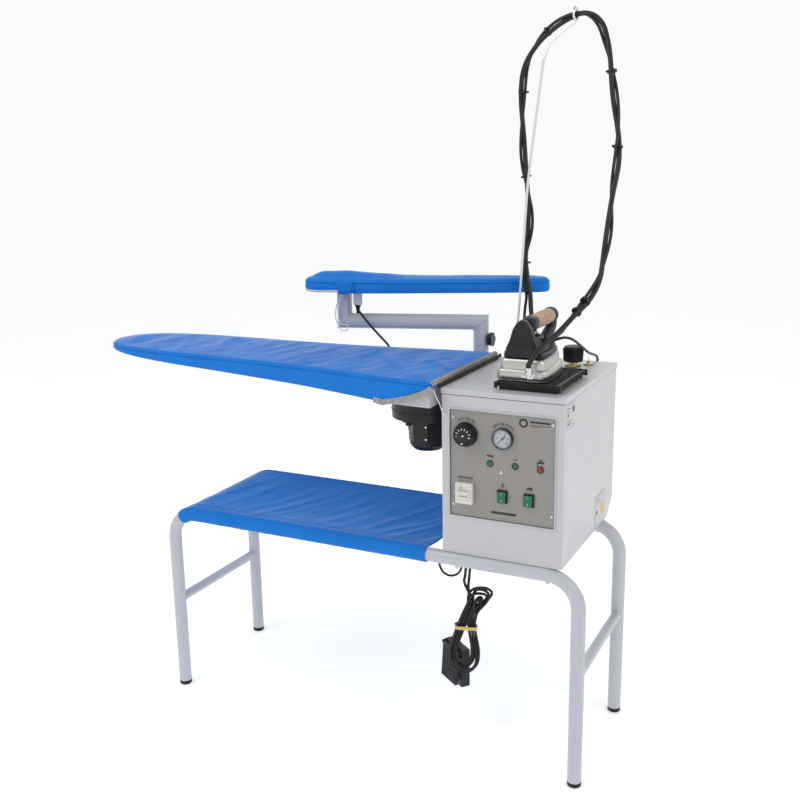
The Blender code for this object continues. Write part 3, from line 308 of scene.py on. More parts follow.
def cork_look():
    colour = (0.56, 0.37, 0.27)
    look = Look("cork", colour, 0.86)
    look.tint(look.cells(420.0), (0.4, 0.24, 0.16), 0.25, 0.75)
    look.tint(look.noise(260.0, 4.0), (0.7, 0.52, 0.42), 0.52, 0.7)
    look.bump(look.cells(420.0), 0.5, 0.0005)
    return look.material


def clear(name, colour, roughness, weight, cloud=0.75):
    look = Look(name, colour, roughness, Transmission_Weight=weight, IOR=1.5)
    look.tint(look.noise(120.0), scaled(colour, cloud))
    look.bump(look.noise(300.0, 1.0), 0.05, 0.0002)
    return look.material


def panel_look():
    colour = (0.275, 0.26, 0.245)
    look = Look("panel_grey", colour, 0.42, 0.15)
    grain = look.noise(40.0, 5.0, (1.0, 1.0, 28.0))
    look.tint(grain, scaled(colour, 0.93))
    look.rough(grain, 0.05)
    look.bump(grain, 0.05, 0.0002)
    return look.material


BLUE = (0.005, 0.172, 0.61)
MATERIALS = {
    "tube_paint": painted("tube_paint", (0.47, 0.48, 0.52), 0.34),
    "white_sheet": painted("white_sheet", (0.49, 0.495, 0.508), 0.4),
    "panel_grey": panel_look(),
    "black_plastic": moulded("black_plastic", (0.008, 0.008, 0.009), 0.36, gloss=0.35),
    "black_rubber": moulded("black_rubber", (0.008, 0.008, 0.009), 0.5, 1500.0, 0.35),
    "blue_fabric": cloth("blue_fabric", BLUE, 0.16),
    "steel": brushed("steel", (0.56, 0.54, 0.51), 0.36, (1.0, 1.0, 30.0)),
    "aluminium": brushed("aluminium", (0.7, 0.7, 0.71), 0.35, (20.0, 1.0, 20.0)),
    "brass": brushed("brass", (0.7, 0.52, 0.22), 0.28, (12.0, 12.0, 1.0)),
    "cork": cork_look(),
    "cream_plastic": moulded("cream_plastic", (0.66, 0.64, 0.585), 0.4, wear=0.95),
    "green_lamp": clear("green_lamp", (0.006, 0.2, 0.075), 0.18, 0.2),
    "red_lamp": clear("red_lamp", (0.42, 0.012, 0.01), 0.18, 0.2),
}
GREY_ELASTIC = cloth("grey_elastic", (0.35, 0.33, 0.318), 0.5, 0.1)
WHITE_CORD = cloth("white_cord", (0.8, 0.8, 0.8), 0.3)
GOLD_BAND = moulded("gold_band", (0.58, 0.42, 0.13), 0.5, wear=1.1)
DARK_METAL = brushed("dark_metal", (0.09, 0.09, 0.1), 0.34, (20.0, 20.0, 1.0))
BRIGHT_METAL = brushed("bright_metal", (0.78, 0.78, 0.78), 0.2, (1.0, 30.0, 1.0))
DIAL_WHITE = moulded("dial_white", (0.74, 0.79, 0.9), 0.5, wear=0.97)
PRINT_BLACK = moulded("print_black", (0.02, 0.02, 0.02), 0.6)
PRINT_WHITE = moulded("print_white", (0.8, 0.8, 0.8), 0.5, wear=0.95)
PLATE_FACE = moulded("plate_face", (0.5, 0.5, 0.5), 0.45, wear=0.93)
LABEL_GREY = moulded("label_grey", (0.4, 0.4, 0.41), 0.45, wear=0.95)
HANDLE_GREY = moulded("handle_grey", (0.009, 0.01, 0.012), 0.4, gloss=0.4)
DIAL_GLASS = clear("dial_glass", (0.99, 0.99, 0.99), 0.0, 1.0, 0.98)
HOSE_BLACK = moulded("hose_black", (0.007, 0.007, 0.008), 0.45, 1200.0, 0.4)


# Building


def placed(name, bm, material, body="station", slot=None, replaces=(), smooth=35, bevel=0.0, move=True,
           segments=2):
    """Makes a piece from a bmesh.
    With body=None the caller says how it moves."""
    named = isinstance(material, str)
    if move:
        bmesh.ops.translate(bm, vec=DATUM, verts=bm.verts)
    bmesh.ops.recalc_face_normals(bm, faces=bm.faces)
    mesh = bpy.data.meshes.new(name)
    bm.to_mesh(mesh)
    bm.free()
    for layer in ("custom_normal", "UVMap"):
        if layer in mesh.attributes:
            mesh.attributes.remove(mesh.attributes[layer])
    mesh.polygons.foreach_set("use_smooth", [True] * len(mesh.polygons))
    mesh.set_sharp_from_angle(angle=radians(smooth))
    mesh.materials.clear()
    mesh.materials.append(MATERIALS[material] if named else material)
    made = bpy.data.objects.new(name, mesh)
    bpy.context.scene.collection.objects.link(made)
    if bevel:
        edge = made.modifiers.new("edge", "BEVEL")
        edge.width = bevel
        edge.segments = segments
        edge.limit_method = "ANGLE"
        edge.angle_limit = radians(38)
        edge.harden_normals = True
    if replaces:
        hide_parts(*replaces)
    own_slot = SLOT[replaces[0]] if replaces else material if named else "black_plastic"
    slot or own_slot
    if body:
        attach(made, body)
    return made


def refined(node, material=None, bevel=0.0, smooth=35, segments=2):
    """A CAD node's own shape with its flat faces merged, its edges rounded and smooth shading."""
    source = NODES[node]
    bm = bmesh.new()
    bm.from_mesh(source.data)
    bmesh.ops.remove_doubles(bm, verts=bm.verts, dist=0.00002)
    bmesh.ops.dissolve_limit(bm, angle_limit=radians(0.4), verts=bm.verts, edges=bm.edges)
    return placed(f"{node}_skin", bm, material or SLOT[node], source["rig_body"], SLOT[node], (node,),
                  smooth, bevel, move=False, segments=segments)


def block(bm, low, high, matrix=Matrix()):
    low, high = Vector(low), Vector(high)
    size = high - low
    bmesh.ops.create_cube(bm, size=1.0, matrix=matrix @ Matrix.Translation((low + high) / 2)
                          @ Matrix.Diagonal((*size, 1.0)))


def blocks(name, corners, material, **placing):
    """A piece made of blocks, each between a low and a high corner."""
    bm = bmesh.new()
    for low, high in corners:
        block(bm, low, high)
    placed(name, bm, material, **placing)


def cylinder(bm, start, end, radius, sides=24, top=None):
    start, end = Vector(start), Vector(end)
    along = end - start
    turn = along.to_track_quat("Z", "Y").to_matrix().to_4x4()
    bmesh.ops.create_cone(bm, cap_ends=True, segments=sides, radius1=radius,
                          radius2=radius if top is None else top, depth=along.length,
                          matrix=Matrix.Translation((start + end) / 2) @ turn)


def lathe(bm, profile, matrix, steps=40):
    """A profile of (radius, height) turned round the matrix's Z axis."""
    rings = []
    for radius, height in profile:
        if radius < 1e-6:
            rings.append([bm.verts.new(matrix @ Vector((0, 0, height)))])
            continue
        rings.append([bm.verts.new(matrix @ Vector((radius * cos(2 * pi * i / steps),
                                                    radius * sin(2 * pi * i / steps), height)))
                      for i in range(steps)])
    for a, b in zip(rings, rings[1:]):
        for i in range(steps):
            j = (i + 1) % steps
            corners = [a[i % len(a)], a[j % len(a)], b[j % len(b)], b[i % len(b)]]
            unique = list(dict.fromkeys(corners))
            if len(unique) > 2:
                bm.faces.new(unique)


def turned(name, profile, matrix, steps, material, **placing):
    """A piece that is one turned profile."""
    bm = bmesh.new()
    lathe(bm, profile, matrix, steps)
    placed(name, bm, material, **placing)


def loft(bm, rings, closed=False):
    """Skins rings of the same count of points. Open ends are capped."""
    made = [[bm.verts.new(p) for p in ring] for ring in rings]
    pairs = list(zip(made, made[1:])) + ([(made[-1], made[0])] if closed else [])
    for a, b in pairs:
        for i in range(len(a)):
            j = (i + 1) % len(a)
            bm.faces.new((a[i], a[j], b[j], b[i]))
    if not closed:
        bm.faces.new(made[0][::-1])
        bm.faces.new(made[-1])


def skin(bm, rows):
    """An open surface through rows of the same count of points."""
    grid = [[bm.verts.new(p) for p in row] for row in rows]
    for a, b in zip(grid, grid[1:]):
        for k in range(len(a) - 1):
            bm.faces.new((a[k], b[k], b[k + 1], a[k + 1]))


def thicken(piece, thickness, offset=-1.0):
    """Gives a one-sided surface the thickness of its cloth."""
    made = piece.modifiers.new("cloth", "SOLIDIFY")
    made.thickness = thickness
    made.offset = offset


def front_at(x, y, z):
    """Places a shape drawn in the XY plane on a face that looks to the front."""
    return Matrix.Translation((x, y, z)) @ FRONT


def slab(bm, outline, low, high, matrix=Matrix()):
    loft(bm, [[matrix @ Vector((x, y, z)) for x, y in outline] for z in (low, high)])


def directions(points, closed=False):
    """Unit tangents of a line of points, and side vectors carried along it without twisting."""
    count = len(points)
    ahead = []
    for i in range(count):
        first = points[i - 1] if closed else points[max(i - 1, 0)]
        last = points[(i + 1) % count] if closed else points[min(i + 1, count - 1)]
        ahead.append((last - first).normalized())
    side = ahead[0].orthogonal().normalized()
    sides = []
    for along in ahead:
        side = (side - along * side.dot(along)).normalized()
        sides.append(side)
    return ahead, sides


def sweep(bm, points, radius, sides=14, closed=False):
    """A round tube along points. The radius may be a list."""
    points = [Vector(p) for p in points]
    ahead, across = directions(points, closed)
    radii = radius if isinstance(radius, list) else [radius] * len(points)
    loft(bm, [[p + Matrix.Rotation(2 * pi * k / sides, 3, a) @ s * r for k in range(sides)]
              for p, a, s, r in zip(points, ahead, across, radii)], closed)


def ribbon(bm, points, normals, width, thickness, closed=False):
    """A flat band along points: its width lies across both the line and the normals."""
    points = [Vector(p) for p in points]
    ahead, _ = directions(points, closed)
    rings = []
    for point, along, normal in zip(points, ahead, normals):
        normal = Vector(normal).normalized()
        across = along.cross(normal).normalized() * width / 2
        out = normal * thickness / 2
        rings.append([point - across - out, point + across - out, point + across + out, point - across + out])
    loft(bm, rings, closed)


def torus(bm, centre, axis, radius, wire):
    steps = 32
    turn = Vector(axis).to_track_quat("Z", "Y").to_matrix()
    points = [Vector(centre) + turn @ Vector((radius * cos(2 * pi * i / steps),
                                              radius * sin(2 * pi * i / steps), 0)) for i in range(steps)]
    sweep(bm, points, wire, 10, closed=True)


def smooth_line(route, spacing, most=400):
    """Evenly spaced points on the smooth curve through a route's own points."""
    route = [Vector(p) for p in route]
    ends = [2 * route[0] - route[1]] + route + [2 * route[-1] - route[-2]]
    fine = []
    for a, b, c, d in zip(ends, ends[1:], ends[2:], ends[3:]):
        for i in range(12):
            t = i / 12
            fine.append(0.5 * (2 * b + (c - a) * t + (2 * a - 5 * b + 4 * c - d) * t * t
                               + (3 * b - a - 3 * c + d) * t ** 3))
    fine.append(route[-1])
    return even(fine, spacing, most)


def even(line, spacing=1.0, most=400, count=None):
    lengths = [0.0]
    for a, b in zip(line, line[1:]):
        lengths.append(lengths[-1] + (b - a).length)
    count = count or min(most, max(2, round(lengths[-1] / spacing)))
    points = []
    at = 0
    for i in range(count + 1):
        want = lengths[-1] * i / count
        while at < len(line) - 2 and lengths[at + 1] < want:
            at += 1
        share = (want - lengths[at]) / max(1e-9, lengths[at + 1] - lengths[at])
        points.append(line[at].lerp(line[at + 1], min(1.0, max(0.0, share))))
    return points


def twisted(route, offset, phase):
    """A route that winds round another one at a distance, as two strands of a bundle do."""
    points = smooth_line(route, 0.03, 78)
    side = Vector((0.0, 1.0, 0.0))
    wound = []
    walked = 0.0
    for i, point in enumerate(points):
        ahead = points[min(i + 1, len(points) - 1)] - points[max(i - 1, 0)]
        ahead.normalize()
        side = (side - ahead * side.dot(ahead)).normalized()
        wound.append(point + Matrix.Rotation(phase + 2 * pi * walked / TWIST_PITCH, 3, ahead) @ side * offset)
        if i + 1 < len(points):
            walked += (points[i + 1] - point).length
    return wound


def moved(points):
    return [Vector(p) + DATUM for p in points]


def bend_at(a, b, c):
    """The radius of the circle through three points: 0 where they turn back, and large on a straight line."""
    if (b - a).dot(c - b) < 0:
        return 0.0
    area = (b - a).cross(c - a).length
    return (b - a).length * (c - b).length * (c - a).length / max(2 * area, 1e-12)


def eased(points, diameter, turns):
    """The same line with its points moved where it bends tighter than so many diameters; its ends stay."""
    line = [Vector(p) for p in points]
    step = max(1, round(2 * diameter / (line[1] - line[0]).length))
    last = len(line) - 1
    for _ in range(240):
        tight = [i for i in range(step, last - step + 1)
                 if bend_at(line[i - step], line[i], line[i + step]) < 1.04 * turns * diameter]
        if not tight:
            break
        near = sorted({k for i in tight for k in range(i - step, i + step + 1) if 1 < k < last - 1})
        before = [p.copy() for p in line]
        for k in near:
            line[k] = before[k].lerp((before[k - 1] + before[k + 1]) / 2, 0.6)
    return line


def free_cord(name, points, radius, replaces, material=None, body="station", lay="hanging",
              stiffness="medium", blend=None, sides=14, slot=None):
    """A round cord as a mesh tube, in the row frame."""
    points = eased(points, 2 * radius, LEAST_BEND.get(lay) or LEAST_BEND[stiffness])
    bm = bmesh.new()
    sweep(bm, points, radius, sides)
    made = placed(name, bm, material or HOSE_BLACK, None if blend else body, slot, replaces, move=False,
                  smooth=60)
    length = sum((b - a).length for a, b in zip(points, points[1:]))
    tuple(points[0])
    if blend:
        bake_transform(made)
    return made


def wobble(x, y, z=0.0):
    return noise.noise(Vector((x, y, z)))


# Camera, light and floor


def camera():
    data = bpy.data.cameras.new("camera")
    data.lens = CAMERA_LENS
    data.sensor_width = 36.0
    made = bpy.data.objects.new("camera", data)
    bpy.context.scene.collection.objects.link(made)
    yaw, pitch, roll = CAMERA_TURN
    forward = Vector((-sin(yaw) * cos(pitch), cos(yaw) * cos(pitch), sin(pitch)))
    level = Vector((cos(yaw), sin(yaw), 0.0))
    up = level.cross(forward)
    right = level * cos(roll) + up * sin(roll)
    top = up * cos(roll) - level * sin(roll)
    turn = Matrix((right, top, -forward)).transposed().to_4x4()
    made.matrix_world = Matrix.Translation(CAMERA_PLACE) @ turn
    bpy.context.scene.camera = made


def area_light(name, location, target, size, power):
    data = bpy.data.lights.new(name, "AREA")
    data.shape = "DISK"
    data.size = size
    data.energy = power
    made = bpy.data.objects.new(name, data)
    made.location = location
    made.rotation_euler = (Vector(target) - Vector(location)).to_track_quat("-Z", "Y").to_euler()
    bpy.context.scene.collection.objects.link(made)


def studio():
    scene = bpy.context.scene
    scene.view_settings.view_transform = "Standard"
    world = bpy.data.worlds.new("studio")
    world.use_nodes = True
    tree = world.node_tree
    sky = tree.nodes["Background"]
    place = tree.nodes.new("ShaderNodeTexCoord")
    split = tree.nodes.new("ShaderNodeSeparateXYZ")
    fade = tree.nodes.new("ShaderNodeMapRange")
    for socket, value in (("From Min", 0.22), ("From Max", 0.55), ("To Min", 0.97), ("To Max", 0.62)):
        fade.inputs[socket].default_value = value
    tree.links.new(place.outputs["Generated"], split.inputs["Vector"])
    tree.links.new(split.outputs["Z"], fade.inputs["Value"])
    tree.links.new(fade.outputs["Result"], sky.inputs["Strength"])
    sky.inputs["Color"].default_value = (0.97, 0.985, 1.0, 1.0)
    scene.world = world
    area_light("key", (-1.2, -1.6, 3.2), (0.1, 0, 0.8), 1.8, 30.0)
    area_light("fill", (3.0, -0.6, 2.4), (0.5, 0, 0.7), 1.4, 16.0)
    area_light("back", (0.2, 2.6, 2.8), (0.1, 0, 0.8), 2.0, 12.0)
    floor_look = Look("floor", (0.93, 0.93, 0.93), 0.9, Emission_Color=(1.0, 1.0, 1.0, 1.0),
                      Emission_Strength=0.34)
    floor_look.tint(floor_look.noise(3.0), (0.91, 0.91, 0.91))
    bm = bmesh.new()
    bmesh.ops.create_grid(bm, x_segments=2, y_segments=2, size=90.0)
    mesh = bpy.data.meshes.new("floor")
    bm.to_mesh(mesh)
    bm.free()
    mesh.materials.append(floor_look.material)
    floor = bpy.data.objects.new("floor", mesh)
    scene.collection.objects.link(floor)


# Hose, cables and cords


def tie(bm, line, share, radius, width):
    """A cable tie round a line of points, with its head."""
    index = min(len(line) - 2, int(share * len(line)))
    point = line[index]
    ahead = (line[index + 1] - line[index]).normalized()
    cylinder(bm, point - ahead * width / 2, point + ahead * width / 2, radius, 20)
    side = ahead.orthogonal().normalized()
    cylinder(bm, point + side * radius * 0.8, point + side * (radius + 0.004), 0.0028, 4)


def hoses():
    bundle = smooth_line(moved(BUNDLE), 0.012)
    hose = smooth_line(moved(list(HOSE_START) + twisted(BUNDLE, 0.0049, -pi / 2) + list(HOSE_END)), 0.012)
    cable = smooth_line(moved(list(CABLE_START) + twisted(BUNDLE, 0.0056, pi / 2) + list(CABLE_END)), 0.012)
    back = smooth_line(moved(RETURN_CABLE), 0.009)
    lift = ("station", "iron", (0.6, 0.045, 1.2), (0.6, -0.105, 1.2))
    free_cord("steam_hose_line", hose, 0.006, ("steam_hose",), blend=lift, stiffness="stiff")
    free_cord("iron_cable_line", cable, 0.00375, ("iron_cable",), blend=lift)
    free_cord("return_cable_line", back, 0.00325, ("return_cable",), stiffness="limp",
              blend=("station", "iron", (0.6, 0.14, 1.0), (0.6, -0.08, 1.0)))
    bm = bmesh.new()
    for share in (0.015, 0.055, 0.2, 0.33, 0.43, 0.6, 0.72):
        tie(bm, bundle, share, 0.0118, 0.005)
    placed("bundle_ties", bm, "black_plastic", move=False, bevel=0.0005)
    clips = bmesh.new()
    tie(clips, bundle, 0.965, 0.0122, 0.008)
    tie(clips, bundle, 0.99, 0.0118, 0.006)
    placed("iron_end_clips", clips, "black_plastic", None, move=False, bevel=0.0005)
    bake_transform(bpy.data.objects["iron_end_clips"])
    relief = bmesh.new()
    start = moved(RETURN_CABLE[:2])
    sweep(relief, [start[0] - Vector((0, 0.002, 0)), start[0].lerp(start[1], 0.4), start[1]],
          [0.0062, 0.0052, 0.0038], 20)
    placed("return_cable_relief", relief, "black_rubber", slot="black_plastic", move=False)
    turned("iron_cable_relief", [(0, 0.0), (0.0085, 0.0), (0.0085, 0.004), (0.0062, 0.006), (0.0045, 0.024),
                                 (0, 0.024)],
           Matrix.Translation((*CABLE_START[0][:2], LID_Z + 0.0003)), 40, "black_rubber",
           slot="black_plastic")
    fan_line = smooth_line(moved(FAN_CABLE), 0.008)
    free_cord("fan_cable_line", fan_line, 0.0028, ("fan_cable",), stiffness="limp")
    sleeve_line = smooth_line(moved(SLEEVE_CABLE), 0.008)
    free_cord("sleeve_cable_line", sleeve_line, 0.003, ("sleeve_cable",), stiffness="limp",
              blend=("sleeve", "station", (-0.0133, 0.0573, 1.05), (0.1297, 0.0743, 0.87)))


def hank_point(u, v, depth):
    turn = Matrix.Rotation(HANK_YAW, 3, "Z")
    return HANK + DATUM + turn @ Vector((u, depth, v))


def hank_ring(margin):
    """One turn of the hank, this far inside its outline, from its upper left round by the bottom."""
    ends = [Vector((x, y, 0)) for x, y in HANK_OUTLINE]
    closed = smooth_line(ends + ends[:1], 0.006)[:-1]
    size = len(closed)
    inner = []
    for i, point in enumerate(closed):
        ahead = (closed[(i + 2) % size] - closed[i - 2]).normalized()
        inner.append(point + Vector((-ahead.y, ahead.x, 0)) * margin)
    start = min(range(size), key=lambda i: (closed[i] - Vector((0.0025, 0.0735, 0))).length)
    ring = inner[start:] + inner[:start] + [inner[start]]
    return even(ring, count=30)


def spread(ring, turn):
    """Fans one turn's two ends out from the tied waist."""
    across, up = ((0.006, 0.01), (-0.004, -0.004), (0.004, 0.0), (-0.01, -0.01), (0.006, -0.006),
                  (-0.002, -0.016))[turn]
    low, sunk = ((0.0, -0.006), (0.004, 0.004), (-0.002, 0.002), (0.006, -0.004), (0.0, 0.006),
                 (0.002, 0.012))[turn]
    made = []
    for point in ring:
        top = max(0.0, min(1.0, (point.y - 0.02) / 0.08))
        foot = max(0.0, min(1.0, (-0.02 - point.y) / 0.09))
        made.append(point + Vector((across * top + low * foot, up * top + sunk * foot, 0)))
    return made


def pedal_lead():
    turns = [(0.004 + 0.0072 * (i // 2), -0.0042 if i % 2 else 0.0042) for i in range(6)]
    rings = [spread(hank_ring(margin), i) for i, (margin, _) in enumerate(turns)]
    line = [Vector(p) for p in smooth_line(moved(PEDAL_CORD[:4]), 0.014)]
    for i, ring in enumerate(rings):
        for k, point in enumerate(ring[:-1]):
            share = k / (len(ring) - 1)
            ease = max(0.0, (share - 0.72) / 0.28)
            ease = ease * ease * (3 - 2 * ease)
            after = rings[min(i + 1, 5)][k]
            depth = turns[i][1] * (1 - ease) + turns[min(i + 1, 5)][1] * ease
            spot = point.lerp(after, ease)
            line.append(hank_point(spot.x, spot.y, depth + 0.0012 * wobble(7.0 * share, 3.1 * i)))
    last = rings[5][8]
    line += [hank_point(last.x, last.y + 0.012, 0.01)]
    line += [Vector((0.366, -0.144, 0.248)), Vector((0.356, -0.129, 0.24)), Vector((0.35, -0.124, 0.233))]
    line = smooth_line(line, 0.008, 500)
    free_cord("pedal_cord_line", line, 0.0034, ("pedal_cord", "pedal_hank"), "black_rubber",
              lay="coiled", stiffness="limp")
    hanger = smooth_line(moved(((0.279, -0.119, 0.5175), (0.2788, -0.1192, 0.49), (0.277, -0.1195, 0.455),
                                (0.274, -0.1198, 0.423), (0.2735, -0.116, 0.395))), 0.01)
    free_cord("hank_hanger", hanger, 0.0034, (), "black_rubber", stiffness="limp")


def hank_band():
    band = bmesh.new()
    outline = []
    for corner_u, corner_d, start in ((0.0185, 0.0045, 0), (-0.0205, 0.0045, 90), (-0.0205, -0.0045, 180),
                                      (0.0185, -0.0045, 270)):
        for step in range(5):
            angle = radians(start + 22.5 * step)
            outline.append((corner_u + 0.0078 * cos(angle), corner_d + 0.0078 * sin(angle)))
    points = [hank_point(u, 0.004 - 0.1 * u + 0.0006 * wobble(u * 300, d * 300), d) for u, d in outline]
    normals = []
    for i in range(len(points)):
        ahead = points[(i + 1) % len(points)] - points[i - 1]
        normals.append(ahead.cross(Vector((0, 0, 1))))
    ribbon(band, points, normals, 0.0085, 0.0011, closed=True)
    placed("hank_band", band, GOLD_BAND, slot="brass", move=False, smooth=60)


# Stand and shelf


def stand():
    for row in ("front", "rear"):
        refined(f"{row}_tube_frame", smooth=40)
        for side in ("left", "right"):
            refined(f"foot_plug_{row}_{side}", bevel=0.0008)
    refined("side_bar_left")
    refined("side_bar_right")
    bm = bmesh.new()
    for x, z in ((-LEG_X, 0.257), (LEG_X, 0.279)):
        for y in (-LEG_Y, LEG_Y):
            side = -1 if y > 0 else 1
            ring = []
            for k in range(32):
                angle = 2 * pi * k / 32
                across = 0.0127 * cos(angle)
                reach = sqrt((TUBE_R + 0.0006) ** 2 - across * across)
                ring.append((x + across, y + side * reach, z + 0.0127 * sin(angle)))
            sweep(bm, ring, 0.0013, 8, closed=True)
    placed("stand_welds", bm, "tube_paint")
    bolts = bmesh.new()
    for x, y in ((0.271, -LEG_Y), (0.493, -LEG_Y), (0.506, LEG_Y), (0.271, LEG_Y)):
        under = RAIL_Z - TUBE_R
        cylinder(bolts, (x, y, under + 0.001), (x, y, under - 0.0012), 0.0062, 24)
        cylinder(bolts, (x, y, under - 0.001), (x, y, under - 0.0052), 0.0046, 6)
    placed("stand_bolts", bolts, "steel", bevel=0.0003)


def rail(x, side):
    """The middle of a rail at x, and the direction that is outwards from its bend's centre."""
    left = -LEG_X + FRAME_BEND
    if x > left:
        return Vector((x, side * LEG_Y, RAIL_Z)), Vector((0, 0, 1))
    angle = (left - x) / FRAME_BEND
    out = Vector((-sin(angle), 0, cos(angle)))
    return Vector((left, side * LEG_Y, RAIL_Z - FRAME_BEND)) + out * FRAME_BEND, out


def sling():
    """The cloth shelf: sleeves round both rails, joined by a sagging sheet, one cloth thick."""
    cloth_r = TUBE_R + 0.0014
    columns = 120
    x_from, x_to = SHELF_X
    rows = []
    for i in range(columns + 1):
        x = x_from + (x_to - x_from) * i / columns
        front, out = rail(x, -1)
        rear, _ = rail(x, 1)
        ring = []
        for k in range(19):
            angle = radians(-52 - 232 * k / 18)
            puff = 0.0006 * wobble(x * 60, k * 0.5) + 0.0005 * wobble(x * 160, k * 0.9)
            radius = cloth_r + puff + 0.0006
            ring.append(front + Vector((0, cos(angle), 0)) * radius + out * sin(angle) * radius)
        lead = ring[-1]
        far = rear + Vector((0, -(lead - front).y, 0)) + (lead - front).project(out)
        for k in range(1, 30):
            t = k / 30
            slack = min(1.0, (x - x_from) / 0.22)
            sag = -SHELF_SAG * 4 * t * (1 - t) * (0.12 + 0.88 * slack)
            near = 0.45 + 0.55 * max(0.0, min(1.0, (x + 0.15) / 0.3))
            inner = min(1.0, 4 * t, 4 - 4 * t)
            folds = max(0.0, 1 - abs(wobble(x * 13 - 1.6 * t, t * 0.9, 4.0)) * 4) ** 2
            sag += inner * near * (0.004 * folds + 0.0022 * wobble(x * 26 - 3.0 * t, t * 1.3, 6.0))
            seam = 0.001 * (exp(-((t - 0.035) / 0.01) ** 2) + exp(-((t - 0.965) / 0.01) ** 2))
            pull = 0.0016 * wobble(x * 7, t * 4.0) + 0.0008 * wobble(x * 30, t * 9.0)
            pull += 0.0011 * exp(-t / 0.08) * wobble(x * 55, 1.0) + 0.0011 * exp(-(1 - t) / 0.08) \
                * wobble(x * 55, 8.0)
            ring.append(lead.lerp(far, t) + out * (sag + pull - seam))
        for k in range(19):
            angle = radians(-128 + 232 * (18 - k) / 18)
            puff = 0.0006 * wobble(x * 60, 20 + k * 0.5)
            radius = cloth_r + puff + 0.0006
            ring.append(rear + Vector((0, cos(angle), 0)) * radius + out * sin(angle) * radius)
        rows.append(ring)
    bm = bmesh.new()
    skin(bm, rows)
    made = placed("shelf_cloth", bm, "blue_fabric", replaces=("shelf_sling",), smooth=60)
    thicken(made, 0.0012, 0.0)
    stitches = bmesh.new()
    for pair in ((18, 48), (20, 46)):
        for i in range(2, columns - 1):
            for index in pair:
                a, b = rows[i][index], rows[i + 1][index]
                _, out = rail(a.x, -1)
                sweep(stitches, [a.lerp(b, 0.15) + out * 0.0009, a.lerp(b, 0.8) + out * 0.0009], 0.00035, 5)
    placed("shelf_stitches", stitches, cloth("thread_blue", (0.006, 0.1, 0.42), 0.1), slot="blue_fabric")


# Cabinet and controls


def rounded(x0, x1, z0, z1, radius, steps=6):
    outline = []
    for cx, cz, start in ((x1 - radius, z1 - radius, 0), (x0 + radius, z1 - radius, 90),
                          (x0 + radius, z0 + radius, 180), (x1 - radius, z0 + radius, 270)):
        for i in range(steps + 1):
            angle = radians(start + 90 * i / steps)
            outline.append((cx + radius * cos(angle), cz + radius * sin(angle)))
    return outline


def front_ring(bm, outer, inner, y_front, y_back):
    """A frame between two outlines of the same count, standing off the front face."""
    loft(bm, [[Vector((x, y, z)) for x, z in outline] for outline, y in
              ((outer, y_back), (outer, y_front), (inner, y_front), (inner, y_back))], closed=True)


def printed(bm, outline, x, z, y=PANEL_Y):
    """A flat printed mark on the panel."""
    slab(bm, [(x + u, z + v) for u, v in outline], 0.0, 0.00025,
         front_at(0, y, 0))


def bar(left, right, half):
    return [(left, -half), (right, -half), (right, half), (left, half)]


def screw(bm, x, y, z, radius, direction=FRONT):
    profile = [(0, 0.0016), (radius * 0.35, 0.0015), (radius * 0.8, 0.001), (radius, 0.0003),
               (radius, -0.0004), (0, -0.0004)]
    lathe(bm, profile, Matrix.Translation((x, y, z)) @ direction, 20)


def cabinet():
    for node, bevel in (("cabinet_shell", 0.0009), ("cabinet_top", 0.0012), ("cabinet_base", 0.0004),
                        ("control_panel", 0.0003)):
        refined(node, bevel=bevel, segments=3)
    trim = bmesh.new()
    inner = rounded(0.2562, 0.5068, 0.6262, 0.8793, 0.0045)
    outer = rounded(0.2532, 0.5098, 0.6232, 0.8823, 0.0065)
    front_ring(trim, outer, inner, FRONT_Y - 0.0024, PANEL_Y - 0.0002)
    placed("window_trim", trim, "white_sheet", bevel=0.0006, segments=3)
    # The dark strips below are painted shadow: a thin dark line round the panel inside the window trim, and
    # one under the lid's lip along the front and the right side, where the real seams only hold shade.
    seam = bmesh.new()
    front_ring(seam, rounded(0.2564, 0.5066, 0.6264, 0.8791, 0.004),
               rounded(0.2573, 0.5057, 0.6273, 0.8782, 0.004), PANEL_Y - 0.0003, PANEL_Y - 0.0001)
    block(seam, (LID_X[0] + 0.0016, FRONT_Y - 0.0004, 0.9112), (LID_X[1] - 0.0012, FRONT_Y + 0.0004, 0.9127))
    block(seam, (LID_X[1] - 0.0022, LID_Y[0] + 0.0016, 0.9112), (LID_X[1] - 0.0013, LID_Y[1] - 0.003, 0.9127))
    placed("cabinet_seam_shadows", seam, DARK_METAL, slot="white_sheet")
    screws = bmesh.new()
    for x, z in ((0.263, 0.8602), (0.2632, 0.6523), (0.5, 0.8629), (0.4998, 0.6537)):
        screw(screws, x, PANEL_Y, z, 0.003)
    for x, y in ((0.242, -0.18), (0.52, -0.18), (0.242, 0.237), (0.52, 0.237)):
        screw(screws, x, y, LID_Z, 0.0024, Matrix())
    for z in (0.9, 0.56):
        for y in (-0.15, 0.2):
            screw(screws, LID_X[1] - 0.0018, y, z, 0.0026, RIGHT)
    screw(screws, 0.2405, FRONT_Y, 0.865, 0.0034)
    pin = front_at(0.3816, PANEL_Y, 0.7424)
    lathe(screws, [(0, 0.0075), (0.0018, 0.007), (0.0018, 0.0012), (0.0034, 0.001), (0.0034, 0), (0, 0)],
          pin, 20)
    placed("cabinet_screws", screws, BRIGHT_METAL, slot="steel", smooth=30)


